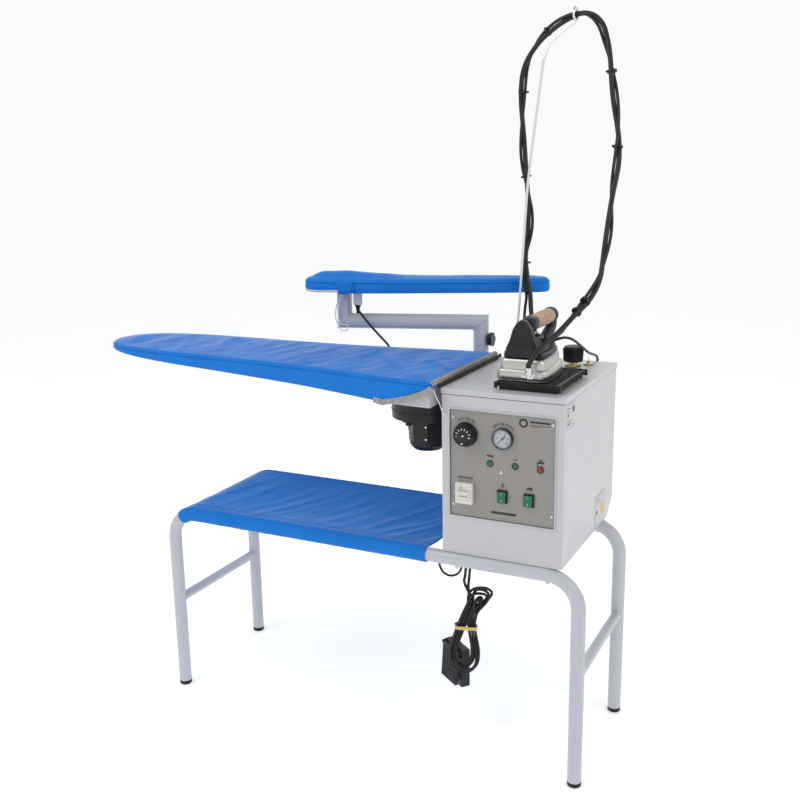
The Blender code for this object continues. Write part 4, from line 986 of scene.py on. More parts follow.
def blank_plates():
    """A small plate above and one below on the right side, with plain rules instead of words."""
    side = LID_X[1] - 0.0018
    blocks("blank_plates", (((side - 0.0002, -0.174, 0.85), (side + 0.0004, -0.112, 0.908)),
                            ((side - 0.0002, 0.08, 0.536), (side + 0.0004, 0.17, 0.619))),
           LABEL_GREY, slot="panel_grey", bevel=0.0002)
    blocks("blank_plate_faces", (((side + 0.0003, -0.172, 0.852), (side + 0.0006, -0.114, 0.906)),
                                 ((side + 0.0003, 0.084, 0.54), (side + 0.0006, 0.166, 0.615))),
           PLATE_FACE, slot="white_sheet")
    blocks("blank_plate_patch", [((side + 0.0005, 0.128, 0.56), (side + 0.0008, 0.158, 0.59))],
           GOLD_BAND, slot="brass")
    rules = ((-0.168, 0.897, 0.026, 0.0016), (-0.168, 0.889, 0.018, 0.001), (-0.168, 0.88, 0.009, 0.005),
             (-0.168, 0.868, 0.03, 0.001), (-0.168, 0.861, 0.022, 0.0022), (-0.13, 0.884, 0.011, 0.013),
             (-0.134, 0.856, 0.015, 0.001), (0.09, 0.604, 0.03, 0.0012), (0.092, 0.57, 0.01, 0.01))
    blocks("blank_plate_rules", [((side + 0.0005, y, z), (side + 0.0008, y + wide, z + tall))
                                 for y, z, wide, tall in rules], PRINT_BLACK, slot="black_plastic")


def icons():
    """Plain pictograms over the lamps and rockers, and tick marks round the dials."""
    bm = bmesh.new()
    printed(bm, [(-0.0085, 0.0026), (-0.008, -0.001), (0.008, -0.0022), (0.0085, 0.0026)], 0.3534, 0.7775)
    for i in range(6):
        angle = radians(205 + 26 * i)
        printed(bm, [(0.0052 * cos(a) * r, 0.0052 * sin(a) * r) for a, r in
                     ((angle, 0.86), (angle + 0.45, 0.86), (angle + 0.45, 1.1), (angle, 1.1))],
                0.4134, 0.7795)
    printed(bm, [(-0.0004, -0.001), (0.0004, -0.001), (0.0007, 0.0035), (-0.0007, 0.0035)], 0.4134, 0.78)
    printed(bm, [(-0.009, 0.0008), (-0.007, 0.003), (-0.002, 0.0034), (-0.0014, 0.0058), (-0.0052, 0.0062),
                 (-0.0052, 0.008), (0.0052, 0.008), (0.0052, 0.0062), (0.0014, 0.0058), (0.002, 0.0034),
                 (0.0085, 0.0034), (0.0085, -0.0014), (-0.006, -0.0014), (-0.0062, -0.0036),
                 (-0.009, -0.0036)], 0.4726, 0.7745)
    printed(bm, [(0.0016 * cos(a), 0.0022 * sin(a)) for a in (k * pi / 6 for k in range(12))],
            0.4648, 0.768)
    drop = [(0.0, 0.0062), (-0.004, -0.0004), (-0.0034, -0.0034), (0.0, -0.005), (0.0034, -0.0034),
            (0.004, -0.0004)]
    loft(bm, [[Vector((0.3844 + u * s, y, 0.713 + v * s)) for u, v in drop] for s, y in
              ((1.0, PANEL_Y), (1.0, PANEL_Y - 0.0003), (0.5, PANEL_Y - 0.0003), (0.5, PANEL_Y))],
         closed=True)
    printed(bm, [(-0.008, -0.0024), (-0.008, -0.004), (0.008, -0.004), (0.008, -0.0024)], 0.4471, 0.713)
    printed(bm, [(-0.0074, -0.0016), (-0.003, 0.002), (0.005, 0.003), (0.0074, 0.003), (0.0078, -0.0016)],
            0.4471, 0.713)
    for centre, radius, count, spread in ((KNOB, 0.0365, 9, 66), (GAUGE, 0.0335, 11, 88)):
        for i in range(count):
            angle = radians(90 + spread * (0.5 - i / (count - 1)))
            out = Vector((cos(angle), sin(angle)))
            across = Vector((-out.y, out.x)) * (0.0014 if i % 2 else 0.0009)
            reach = 0.003 if i % 3 else 0.0018
            corners = [out * (radius - reach) - across, out * (radius - reach) + across,
                       out * (radius + reach) + across, out * (radius + reach) - across]
            printed(bm, [tuple(c) for c in corners], *centre)
    for i in range(9):
        tall = 0.003 if i % 3 else 0.002
        printed(bm, bar(-0.0012, 0.0012, tall), 0.2765 + 0.0042 * i, 0.7195)
    badge = [(0.0105 * cos(k * pi / 16), 0.0105 * sin(k * pi / 16)) for k in range(32)]
    printed(bm, badge, 0.4318, 0.862)
    for z, x1, tall in ((0.866, 0.493, 0.0042), (0.859, 0.493, 0.0012), (0.8555, 0.47, 0.0008)):
        printed(bm, bar(0, x1 - 0.447, tall / 2), 0.447, z)
    printed(bm, [(0, -0.003), (0.06, -0.003), (0.062, 0.003), (0.002, 0.003)], 0.356, 0.6455)
    placed("panel_prints", bm, PRINT_BLACK, slot="black_plastic")
    hole = bmesh.new()
    ring = [(0.0058 * cos(k * pi / 12), 0.0058 * sin(k * pi / 12)) for k in range(24)]
    slab(hole, [(0.4318 + u, 0.862 + v) for u, v in ring], 0.0003, 0.0006, front_at(0, PANEL_Y, 0))
    placed("badge_centre", hole, "panel_grey")


def numeral(text, size, matrix, name):
    curve = bpy.data.curves.new(name, "FONT")
    curve.body = text
    curve.size = size
    curve.align_x = "CENTER"
    curve.align_y = "CENTER"
    curve.extrude = 0.00012
    curve.resolution_u = 3
    source = bpy.data.objects.new(name, curve)
    mesh = bpy.data.meshes.new_from_object(source)
    bpy.data.objects.remove(source)
    bm = bmesh.new()
    bm.from_mesh(mesh)
    bm.transform(matrix)
    return bm


def gather(target, source):
    """Adds one bmesh to another."""
    mesh = bpy.data.meshes.new("gather")
    source.to_mesh(mesh)
    source.free()
    target.from_mesh(mesh)
    bpy.data.meshes.remove(mesh)


def thermostat():
    x, z = KNOB
    face = PANEL_Y - 0.0003 - 0.021
    turned("knob_skin", [(0, 0.021), (0.0208, 0.021), (0.0236, 0.0198), (0.0262, 0.012), (0.0278, 0.006),
                         (0.0285, 0.005), (0.0285, 0.0005), (0, 0.0005)],
           front_at(x, PANEL_Y - 0.0003, z), 64, "black_plastic", body="thermostat",
           replaces=("thermostat_knob",), smooth=50, bevel=0.0008)
    marks = bmesh.new()
    for i in range(8):
        angle = radians(185 - 28 * i)
        spot = Matrix.Translation((x + 0.0155 * cos(angle), face - 0.0001, z + 0.0155 * sin(angle)))
        upright = spot @ FRONT @ Matrix.Rotation(angle - pi / 2, 4, "Z")
        gather(marks, numeral(str(i + 1), 0.0078, upright, f"digit_{i}"))
    block(marks, (x - 0.0042, face - 0.0003, z - 0.0196), (x + 0.0002, face + 0.0002, z - 0.0168))
    cylinder(marks, (x, face + 0.0002, z), (x, face - 0.0005, z), 0.0021, 16)
    placed("knob_marks", marks, PRINT_WHITE, "thermostat", "black_plastic")
    grip = bmesh.new()
    for i in range(30):
        angle = 2 * pi * i / 30
        at = front_at(x, face + 0.021, z) @ Matrix.Rotation(angle, 4, "Z") \
            @ Matrix.Rotation(radians(-14), 4, "Y") @ Matrix.Translation((0.0013, 0, 0.0005))
        block(grip, (0.023, -0.0008, 0.008), (0.0262, 0.0008, 0.017), at)
    placed("knob_ribs", grip, "black_plastic", "thermostat", bevel=0.0003)


def gauge():
    refined("gauge_body", DARK_METAL, bevel=0.0006)
    x, z = GAUGE
    dial = PANEL_Y - 0.0003 - 0.0045
    disc = bmesh.new()
    cylinder(disc, (x, dial + 0.0004, z), (x, dial - 0.0002, z), 0.0213, 48)
    placed("gauge_dial", disc, DIAL_WHITE, slot="white_sheet")
    marks = bmesh.new()
    for i in range(31):
        angle = radians(225 - 270 * i / 30)
        out = Vector((cos(angle), sin(angle)))
        across = Vector((-out.y, out.x)) * (0.00055 if i % 6 == 0 else 0.0003)
        inner = 0.0158 if i % 6 == 0 else 0.0174
        tick = (out * inner - across, out * inner + across, out * 0.0196 + across, out * 0.0196 - across)
        printed(marks, tick, x, z, dial - 0.0001)
        if i % 6 == 0:
            spot = Matrix.Translation((x + 0.0128 * out.x, dial - 0.0003, z + 0.0128 * out.y))
            gather(marks, numeral(str(2 * i // 6), 0.0062, spot @ FRONT, f"dial_{i}"))
    placed("gauge_marks", marks, PRINT_BLACK, slot="black_plastic")
    needle = bmesh.new()
    at = front_at(x, dial - 0.0006, z) @ Matrix.Rotation(radians(225), 4, "Z")
    slab(needle, [(0.0165, 0.0), (0.0, 0.0009), (-0.004, 0.0014), (-0.01, 0.0017), (-0.01, -0.0017),
                  (-0.004, -0.0014), (0.0, -0.0009)], 0.0003, 0.0011, at)
    lathe(needle, [(0, 0.0018), (0.0022, 0.0016), (0.0027, 0.001), (0.0027, 0.0), (0, 0.0)], at, 24)
    placed("needle_skin", needle, PRINT_BLACK, "pointer", replaces=("gauge_needle",), bevel=0.0002)
    turned("gauge_glass", [(0, 0.0026), (0.008, 0.0023), (0.015, 0.0016), (0.0212, 0.0006), (0.0212, 0.0),
                           (0.015, 0.001), (0.008, 0.0017), (0, 0.002)],
           front_at(x, PANEL_Y - 0.0085, z), 48, DIAL_GLASS, slot="white_sheet", smooth=60)


def rockers():
    bezels = bmesh.new()
    for name, x, z in ROCKERS:
        outer = rounded(x - 0.0122, x + 0.0122, z - 0.0152, z + 0.0152, 0.0012, 3)
        inner = rounded(x - 0.01, x + 0.01, z - 0.0131, z + 0.0131, 0.0006, 3)
        front_ring(bezels, outer, inner, PANEL_Y - 0.0042, PANEL_Y - 0.0001)
        refined(f"rocker_{name}", bevel=0.0008, segments=3)
        body = f"{name}_rocker"
        dots = bmesh.new()
        tilt = Matrix.Rotation(radians(-8), 4, "X")
        at = Matrix.Translation((x, PANEL_Y - 0.0068, z)) @ tilt
        lathe(dots, [(0, 0.0002), (0.0011, 0.0002), (0.0011, -0.0004), (0, -0.0004)],
              at @ front_at(0, -0.0034, -0.0078), 16)
        block(dots, (-0.0003, -0.0037, 0.0062), (0.0003, -0.0031, 0.009), at)
        placed(f"rocker_{name}_marks", dots, PRINT_WHITE, body, "green_lamp")
    placed("rocker_bezels", bezels, "black_plastic", bevel=0.0004)


def lamps():
    rings = bmesh.new()
    for name, x, z, radius in LAMPS:
        refined(f"lamp_{name}", smooth=50)
        lathe(rings, [(radius + 0.0001, 0.0001), (radius + 0.0001, 0.002), (radius + 0.001, 0.0022),
                      (radius + 0.002, 0.001), (radius + 0.002, 0.0001)],
              front_at(x, PANEL_Y, z), 32)
    placed("lamp_rings", rings, DARK_METAL, slot="steel", smooth=60)


def breaker():
    refined("breaker_body", bevel=0.001, segments=3)
    refined("breaker_lever", "cream_plastic", bevel=0.0006)
    x, z = BREAKER
    front = PANEL_Y - 0.0003 - 0.012
    step = ((x - 0.0195, front - 0.0016, z - 0.0228), (x + 0.0195, front + 0.0005, z - 0.0078))
    blocks("breaker_step", [step], "cream_plastic", bevel=0.0006)
    handle = bmesh.new()
    axle = Matrix.Translation((x, PANEL_Y - 0.0003 - 0.0085, z)) @ Matrix.Rotation(radians(-18), 4, "X")
    block(handle, (-0.0172, -0.0142, -0.0028), (0.0172, -0.008, 0.0028), axle)
    placed("breaker_handle", handle, "cream_plastic", "breaker", bevel=0.0009, segments=3)
    seams = [((x - 0.019, front - 0.0002, z + 0.0178), (x - 0.003, front + 0.0002, z + 0.0186)),
             ((x + 0.003, front - 0.0002, z + 0.0178), (x + 0.019, front + 0.0002, z + 0.0186)),
             ((x - 0.0205, front - 0.0001, z + 0.0085), (x + 0.0205, front + 0.0002, z + 0.009))]
    seams += [((x + u, front - 0.0018, z - 0.0155), (x + u + 0.0022, front - 0.0012, z - 0.0138))
              for u in (-0.015, -0.012, 0.006, 0.01, 0.014)]
    blocks("breaker_marks", seams, LABEL_GREY, slot="black_plastic")
    window = ((x - 0.0085, front - 0.0003, z + 0.0118), (x - 0.005, front + 0.0002, z + 0.0152))
    blocks("breaker_window", [window], "green_lamp")


# Boiler's fittings on the lid, and what is inside the cabinet


def lid_fittings():
    refined("filler_cap", bevel=0.0012, segments=3)
    x, y = 0.438, 0.161
    ribs = bmesh.new()
    for i in range(36):
        at = Matrix.Translation((x, y, 0.9378)) @ Matrix.Rotation(2 * pi * i / 36, 4, "Z") \
            @ Matrix.Rotation(0.047, 4, "Y")
        block(ribs, (0.0222, -0.0008, 0.004), (0.024, 0.0008, 0.034), at)
    lathe(ribs, [(0.012, 0.0386), (0.0125, 0.0394), (0.015, 0.0394), (0.0155, 0.0386)],
          Matrix.Translation((x, y, 0.9378)), 40)
    placed("cap_ribs", ribs, "black_plastic", "cap", bevel=0.0003)
    for node, bevel in (("filler_neck", 0.0004), ("safety_valve", 0.0004), ("steam_outlet", 0.0005),
                        ("rear_cable_gland", 0.0005), ("mast_socket", 0.0006), ("cable_block", 0.0012),
                        ("boiler_tank", 0.0), ("heating_element", 0.0), ("solenoid_valve", 0.0006)):
        refined(node, bevel=bevel)
    nuts = bmesh.new()
    cylinder(nuts, (x, y, LID_Z + 0.0005), (x, y, LID_Z + 0.0055), 0.0175, 6)
    cylinder(nuts, (0.469, 0.189, LID_Z + 0.0003), (0.469, 0.189, LID_Z + 0.0035), 0.0125, 6)
    cylinder(nuts, (0.3275, 0.205, LID_Z + 0.0008), (0.3275, 0.205, LID_Z + 0.0058), 0.017, 6)
    placed("fitting_nuts", nuts, "brass", bevel=0.0006)
    ring = bmesh.new()
    torus(ring, (0.469, 0.189, LID_Z + 0.0135), (1, 0.3, 0), 0.0052, 0.0008)
    placed("safety_ring", ring, BRIGHT_METAL, slot="steel")
    refined("mast_rod", BRIGHT_METAL, smooth=60)
    turned("neck_seal", [(0.0176, 0.0001), (0.0176, 0.0006), (0.0205, 0.0006), (0.0205, 0.0001)],
           Matrix.Translation((x, y, LID_Z)), 40, "black_rubber")


# Ironing board and sleeve board


def closed_outline(halves, spacing, heel_edge=False):
    near = [(x, half, 0) for x, half in halves]
    far = [(x, -half, 0) for x, half in reversed(halves) if half > 0]
    line = smooth_line(near + far, spacing / 2, 2000)
    if heel_edge:
        line = line + [line[-1].lerp(line[0], (i + 1) / 40) for i in range(39)]
    return even(line + line[:1], spacing, 2000)[:-1]


TOP_STEP = 0.011


def inside_spots(flat):
    """A staggered grid of points inside an outline, each with how far it is from the edge."""
    xs = [p.x for p in flat]
    ys = [p.y for p in flat]
    spots = []
    row = 0
    y = min(ys) + TOP_STEP / 2
    while y < max(ys):
        x = min(xs) + (TOP_STEP / 2 if row % 2 else 0.0)
        crossings = [a.x + (b.x - a.x) * (y - a.y) / (b.y - a.y)
                     for a, b in zip(flat, flat[1:] + flat[:1]) if (a.y > y) != (b.y > y)]
        while x < max(xs):
            if sum(c < x for c in crossings) % 2:
                spot = Vector((x, y))
                gap = min((spot - p).length for p in flat)
                if gap > 0.6 * TOP_STEP:
                    spots.append((spot, gap))
            x += TOP_STEP
        y += TOP_STEP * 0.87
        row += 1
    return spots


def fill_top(bm, rim, top, crown, folds):
    """The crowned top of a cover inside its rim, with soft swells, sharper fold lines and fine wrinkles."""
    flat = [Vector((v.co.x, v.co.y)) for v in rim]
    count = len(flat)
    inside = inside_spots(flat)
    verts, _, faces, origin, _, _ = delaunay_2d_cdt(flat + [spot for spot, _ in inside], [],
                                                    [list(range(count))], 1, 1e-6)
    table = []
    for i, spot in enumerate(verts):
        source = origin[i][0] if origin[i] else None
        if source is not None and source < count:
            table.append(rim[source])
            continue
        gap = 0.02 if source is None else inside[source - count][1]
        swell = min(1.0, gap / 0.045)
        place = Vector((spot.x, spot.y, 0))
        z = top(place) + crown(place) * swell * (2 - swell)
        swell *= folds
        z += 0.004 * swell * wobble(spot.x * 17 + 3.0 * spot.y, spot.y * 2.5)
        z += 0.0016 * swell * wobble(spot.x * 38 - 9.0 * spot.y, spot.y * 6.0, 5.0)
        fold = max(0.0, 1 - abs(wobble(spot.x * 8.0 + spot.y * 5.0, spot.y * 1.8, 8.0)) * 4)
        z += 0.0036 * swell * fold * fold
        z += 0.0007 * min(1.0, gap / 0.012) * wobble(spot.x * 34, spot.y * 40)
        table.append(bm.verts.new((spot.x, spot.y, z)))
    for face in faces:
        corners = [table[i] for i in face]
        if len(set(corners)) == 3:
            try:
                bm.faces.new(corners)
            except ValueError:
                continue


def pad_shape(outline, top, bottom, crown, puckers, edge, hem=0.015, grow=0.0, folds=1.0):
    """A tight cover: a turned-in hem, a side band, a piped seam and a crowned, wrinkled top."""
    if sum(a.x * b.y - b.x * a.y for a, b in zip(outline, outline[1:] + outline[:1])) < 0:
        outline = outline[::-1]
    count = len(outline)
    normals = []
    for i in range(count):
        ahead = (outline[(i + 1) % count] - outline[i - 1]).normalized()
        normals.append(Vector((ahead.y, -ahead.x, 0)))
    walked = [0.0]
    for a, b in zip(outline, outline[1:]):
        walked.append(walked[-1] + (b - a).length)
    bands = [(-hem, None, 0.0012), (-0.0012, None, 0.0), (0.0, None, 0.0028), (0.0008, 0.28, 0.0),
             (0.0012, 0.52, 0.0), (0.0008, 0.76, 0.0), (0.0, 1.0, -edge - 0.0018),
             (-0.0012, 1.0, -edge - 0.0004), (0.0012, 1.0, -edge + 0.0006), (0.0012, 1.0, -edge + 0.0018),
             (-0.0008, 1.0, -edge + 0.0028)]
    for k in range(1, 6):
        angle = radians(24 + 66 * k / 5)
        bands.append((-edge * 1.3 * (1 - cos(angle)) - 0.0006, 1.0, -edge * (1 - sin(angle))))
    rings = []
    for out, share, rise in bands:
        ring = []
        for point, normal, arc in zip(outline, normals, walked):
            low, high = bottom(point), top(point)
            z = low + rise if share is None else low + (high - edge * (share < 1.0) - low) * share + rise
            ripple = 0.0
            if share is not None and share < 1.0:
                ripple = puckers * (0.9 * wobble(arc * 42, z * 18) + 0.6 * wobble(arc * 130, z * 26))
            elif share == 1.0:
                ripple = 0.35 * puckers * wobble(arc * 90, 4.0)
                z += 0.25 * puckers * wobble(arc * 60, 9.0)
            where = point + normal * (out + ripple + grow)
            ring.append(Vector((where.x, where.y, z)))
        rings.append(ring)
    bm = bmesh.new()
    made = [[bm.verts.new(p) for p in ring] for ring in rings]
    for a, b in zip(made, made[1:]):
        for i in range(count):
            j = (i + 1) % count
            bm.faces.new((a[i], a[j], b[j], b[i]))
    fill_top(bm, made[-1], top, crown, folds)
    return bm


def board_rise(x):
    return (HEEL_X - x) * BOARD_TILT


def board_bottom(point):
    x = point.x
    past = max(0.0, (x - HEM_X) / (HEEL_X - HEM_X))
    low = HEM_Z + (0.03 * past + 0.016 * past ** 4 if past else 0.0425 * (HEM_X - x))
    return min(low, BOARD_Z - 0.01) + board_rise(x)


def ironing_board():
    outline = [p + Vector((0, BOARD_Y, 0)) for p in closed_outline(BOARD_HALF, 0.0075, heel_edge=True)]
    cover = pad_shape(outline, lambda p: BOARD_Z - 0.001 + board_rise(p.x), board_bottom, lambda p: 0.0012,
                      puckers=0.0011, edge=0.0075)
    made = placed("board_cover", cover, "blue_fabric", replaces=("board_pad_cover",), smooth=70)
    thicken(made, 0.001)
    refined("board_plenum", bevel=0.0012)

    elastic = bmesh.new()
    for side in (-1, 1):
        points, normals = [], []
        for i in range(150):
            x = 0.074 + (HEEL_X + 0.0006 - 0.074) * i / 149
            half = 0.1785 + 0.0215 * min(1.0, max(0.0, x / HEEL_X)) ** 0.8
            fade = min(1.0, i / 24)
            ruffle = 0.0012 * sin(i * 0.66 + 2.2 * wobble(i * 0.1, side)) + 0.001 * wobble(i * 0.6, side)
            z = board_bottom(Vector((x, 0, 0))) + 0.003 - 0.004 * fade
            points.append((x, BOARD_Y + side * (half + 0.0044 + ruffle), z))
            normals.append((0.12 * cos(i * 0.66), side, 0.1 * wobble(i * 0.4, 3)))
        ribbon(elastic, points, normals, 0.0135, 0.0024)
    for normal, z, x, width in (((0.35, 0, 0.94), BOARD_Z - 0.0012, HEEL_X - 0.0022, 0.0095),
                                ((1, 0, 0.1), BOARD_Z - 0.0045, HEEL_X + 0.001, 0.0078)):
        points, normals = [], []
        for i in range(200):
            share = i / 199
            y = BOARD_Y - 0.2018 + 0.4036 * share
            points.append((x + 0.0007 * sin(i * 1.9), y, z + 0.0006 * wobble(i * 0.5, 2)))
            normals.append((normal[0] + 0.2 * sin(i * 1.9), 0, normal[2]))
        ribbon(elastic, points, normals, width, 0.0016)
    placed("board_elastic", elastic, GREY_ELASTIC, slot="blue_fabric", smooth=60)

    blocks("heel_gasket", [((0.2316, -0.196, 0.9262), (0.2341, 0.202, 0.9368))], "black_rubber",
           bevel=0.0008)
    studs = bmesh.new()
    for i in range(7):
        screw(studs, 0.2328, -0.18 + 0.058 * i, 0.9368, 0.0016, Matrix())
    placed("gasket_screws", studs, BRIGHT_METAL, slot="steel")

    strap = bmesh.new()
    strap_line = smooth_line([(0.2295, -0.216, 0.927), (0.231, -0.208, 0.911), (0.2355, -0.196, 0.89),
                              (0.2402, -0.1885, 0.866)], 0.006)
    sweep(strap, strap_line, 0.0011, 10)
    placed("cover_tape", strap, WHITE_CORD, slot="white_sheet")


def fan():
    refined("fan_housing", bevel=0.0014, segments=3)
    refined("fan_impeller", bevel=0.0)
    x, y = FAN
    ribs = bmesh.new()
    turn = Matrix.Rotation(radians(22.5), 4, "Z")
    lathe(ribs, [(0.044, 0.815), (0.05, 0.815), (0.05, 0.778), (0.0485, 0.7765), (0.0485, 0.756),
                 (0.04, 0.734), (0.0, 0.733)], Matrix.Translation((x, y, 0)) @ turn, 8)
    for angle in (200, 236):
        at = Matrix.Translation((x, y, 0)) @ Matrix.Rotation(radians(angle), 4, "Z")
        cylinder(ribs, at @ Vector((0.056, 0, 0.816)), at @ Vector((0.056, 0, 0.796)), 0.0075, 20)
    lathe(ribs, [(0.0888, 0.833), (0.0905, 0.833), (0.0905, 0.8375), (0.0888, 0.8375)],
          Matrix.Translation((x, y, 0)), 64)
    placed("fan_ribs", ribs, "black_plastic", bevel=0.0012)
    bolts = bmesh.new()
    for angle, z in ((-72, 0.796), (-72, 0.765), (200, 0.79)):
        spot = Vector((x + 0.0478 * cos(radians(angle)), y + 0.0478 * sin(radians(angle)), z))
        out = Vector((cos(radians(angle)), sin(radians(angle)), 0))
        cylinder(bolts, spot - out * 0.002, spot + out * 0.0022, 0.0024, 12)
    placed("fan_bolts", bolts, BRIGHT_METAL, slot="steel", bevel=0.0003)


def sleeve_place():
    return Matrix.Translation((ARM_END.x, ARM_END.y, 0)) @ Matrix.Rotation(SLEEVE_ANGLE, 4, "Z")


def sleeve_board():
    for node, bevel in (("sleeve_post", 0.0005), ("sleeve_arm", 0.0), ("sleeve_clamp_knob", 0.0018),
                        ("sleeve_board_base", 0.0018)):
        refined(node, bevel=bevel, segments=3)
    outline = closed_outline(SLEEVE_HALF, 0.0065)

    def top(point):
        lift = max(0.0, min(1.0, (0.2 - point.x) / 0.26))
        return SLEEVE_Z + 0.0335 + 0.003 * lift * lift * (3 - 2 * lift)

    def crown(point):
        lift = max(0.0, min(1.0, (0.22 - point.x) / 0.24))
        return 0.004 + 0.011 * lift * lift * (3 - 2 * lift)

    def low(point):
        return SLEEVE_Z - 0.003 + 0.0075 * max(0.0, min(1.0, (0.03 - point.x) / 0.035))

    cover = pad_shape(outline, top, low, crown, 0.0011, 0.011, 0.006, 0.003, 0.3)
    turn = sleeve_place()
    cover.transform(turn)
    made = placed("sleeve_cover", cover, "blue_fabric", "sleeve", replaces=("sleeve_pad_cover",), smooth=70)
    thicken(made, 0.001)


def sleeve_fold():
    """The cover's loose corner at the board's near end."""
    turn = sleeve_place()
    flap = bmesh.new()
    spots = [(-0.01, -0.064), (0.0, -0.065), (0.012, -0.0656), (0.024, -0.0652), (0.034, -0.064)]
    rows = []
    for i, (s, t) in enumerate(spots):
        curl = 0.002 * sin(pi * i / 4)
        rows.append([Vector((s + 0.006 * k / 4, t - curl * (1 - k / 4) * 0.9, SLEEVE_Z + 0.03 - 0.0085 * k
                             * (1.0 if i < 3 else 0.75))) for k in range(5)])
    skin(flap, rows)
    flap.transform(turn)
    fold = placed("sleeve_fold", flap, "blue_fabric", "sleeve", smooth=70)
    thicken(fold, 0.0014)


def arm_welds():
    along = Vector((cos(radians(195.5)), sin(radians(195.5)), 0))
    up = Vector((0, 0, 1))
    side = along.cross(up)
    welds = bmesh.new()
    for corner, lean in ((Vector((POST.x, POST.y, ARM_Z)), along - up),
                         (Vector((ARM_END.x, ARM_END.y, ARM_Z)), up - along)):
        ring = [corner + lean * ARM_R * 1.01 * cos(2 * pi * i / 48)
                + side * ARM_R * 1.01 * sin(2 * pi * i / 48) for i in range(48)]
        sweep(welds, ring, 0.0014, 8, closed=True)
    placed("arm_welds", welds, "tube_paint", "sleeve")


def plug_and_draw_cord():
    turned("plug_relief", [(0, 0.001), (0.0078, 0.001), (0.0082, -0.003), (0.006, -0.006), (0.004, -0.023),
                           (0, -0.023)],
           Matrix.Translation((-0.143, 0.118, 1.057)), 24, "black_rubber", body="sleeve")

    x, y = ARM_END.x, ARM_END.y
    loops = [(x + 0.01, y - 0.024, 1.086), (x + 0.002, y - 0.0265, 1.076), (x - 0.01, y - 0.027, 1.052),
             (x - 0.015, y - 0.026, 1.025), (x - 0.01, y - 0.025, 1.002), (x - 0.002, y - 0.0255, 0.992),
             (x + 0.006, y - 0.0262, 0.998), (x + 0.003, y - 0.0285, 1.008), (x - 0.006, y - 0.029, 1.004),
             (x - 0.004, y - 0.028, 0.99), (x + 0.008, y - 0.0275, 0.986), (x + 0.02, y - 0.027, 0.988),
             (x + 0.026, y - 0.0265, 0.996), (x + 0.018, y - 0.0262, 1.003), (x + 0.008, y - 0.029, 1.002),
             (x - 0.002, y - 0.031, 1.014), (x - 0.004, y - 0.03, 1.04), (x + 0.002, y - 0.029, 1.064),
             (x + 0.012, y - 0.0262, 1.08)]
    line = smooth_line(moved(loops), 0.005)
    free_cord("cover_draw_cord", line, 0.0015, (), WHITE_CORD, "sleeve", stiffness="limp", sides=8,
              slot="white_sheet")


# Iron


def iron_ring(margin, z):
    right = [(half, y, 0) for y, half in IRON_HALF]
    left = [(-x, y, 0) for x, y, _ in reversed(right) if x > 0]
    line = smooth_line(right + left, 0.004)
    around = even(line + line[:1], count=72)[:-1]
    return [Vector((IRON_X + p.x * (1 - margin / 0.06), -0.034 + (p.y + 0.034) * (1 - margin / 0.109), z))
            for p in around]


def rest():
    x0, x1, y0, y1 = REST
    mat = bmesh.new()
    block(mat, (x0 + 0.0045, y0 + 0.0045, 0.9345), (x1 - 0.0045, y1 - 0.0045, 0.942))
    block(mat, (x0 + 0.006, y0 + 0.006, LID_Z + 0.0003), (x1 - 0.006, y1 - 0.006, 0.935))
    loft(mat, [[Vector((x, y, z)) for x, y in outline] for outline, z in
               ((rounded(x0, x1, y0, y1, 0.004), 0.9345), (rounded(x0, x1, y0, y1, 0.004), 0.9449),
                (rounded(x0 + 0.005, x1 - 0.005, y0 + 0.005, y1 - 0.005, 0.002), 0.9449),
                (rounded(x0 + 0.005, x1 - 0.005, y0 + 0.005, y1 - 0.005, 0.002), 0.9345))], closed=True)
    for sx in (x0, x1):
        for sy in (y0, y1):
            block(mat, (sx - 0.0035, sy - 0.0035, 0.93), (sx + 0.0035, sy + 0.0035, 0.944))
    x = x0 + 0.01
    while x < x1 - 0.009:
        y = y0 + 0.01
        while y < y1 - 0.009:
            block(mat, (x - 0.002, y - 0.003, 0.9415), (x + 0.002, y + 0.003, 0.9448))
            y += 0.0092
        x += 0.0076
    for i in range(int((x1 - x0) / 0.0065)):
        px = x0 + 0.004 + i * 0.0065
        for py in (y0 - 0.0009, y1 + 0.0009):
            block(mat, (px, py - 0.0009, 0.935), (px + 0.003, py + 0.0009, 0.9435))
    for i in range(int((y1 - y0) / 0.0065)):
        py = y0 + 0.004 + i * 0.0065
        for px in (x0 - 0.0009, x1 + 0.0009):
            block(mat, (px - 0.0009, py, 0.935), (px + 0.0009, py + 0.003, 0.9435))
    placed("rest_mat", mat, "black_rubber", replaces=("iron_rest_mat",), bevel=0.0004)


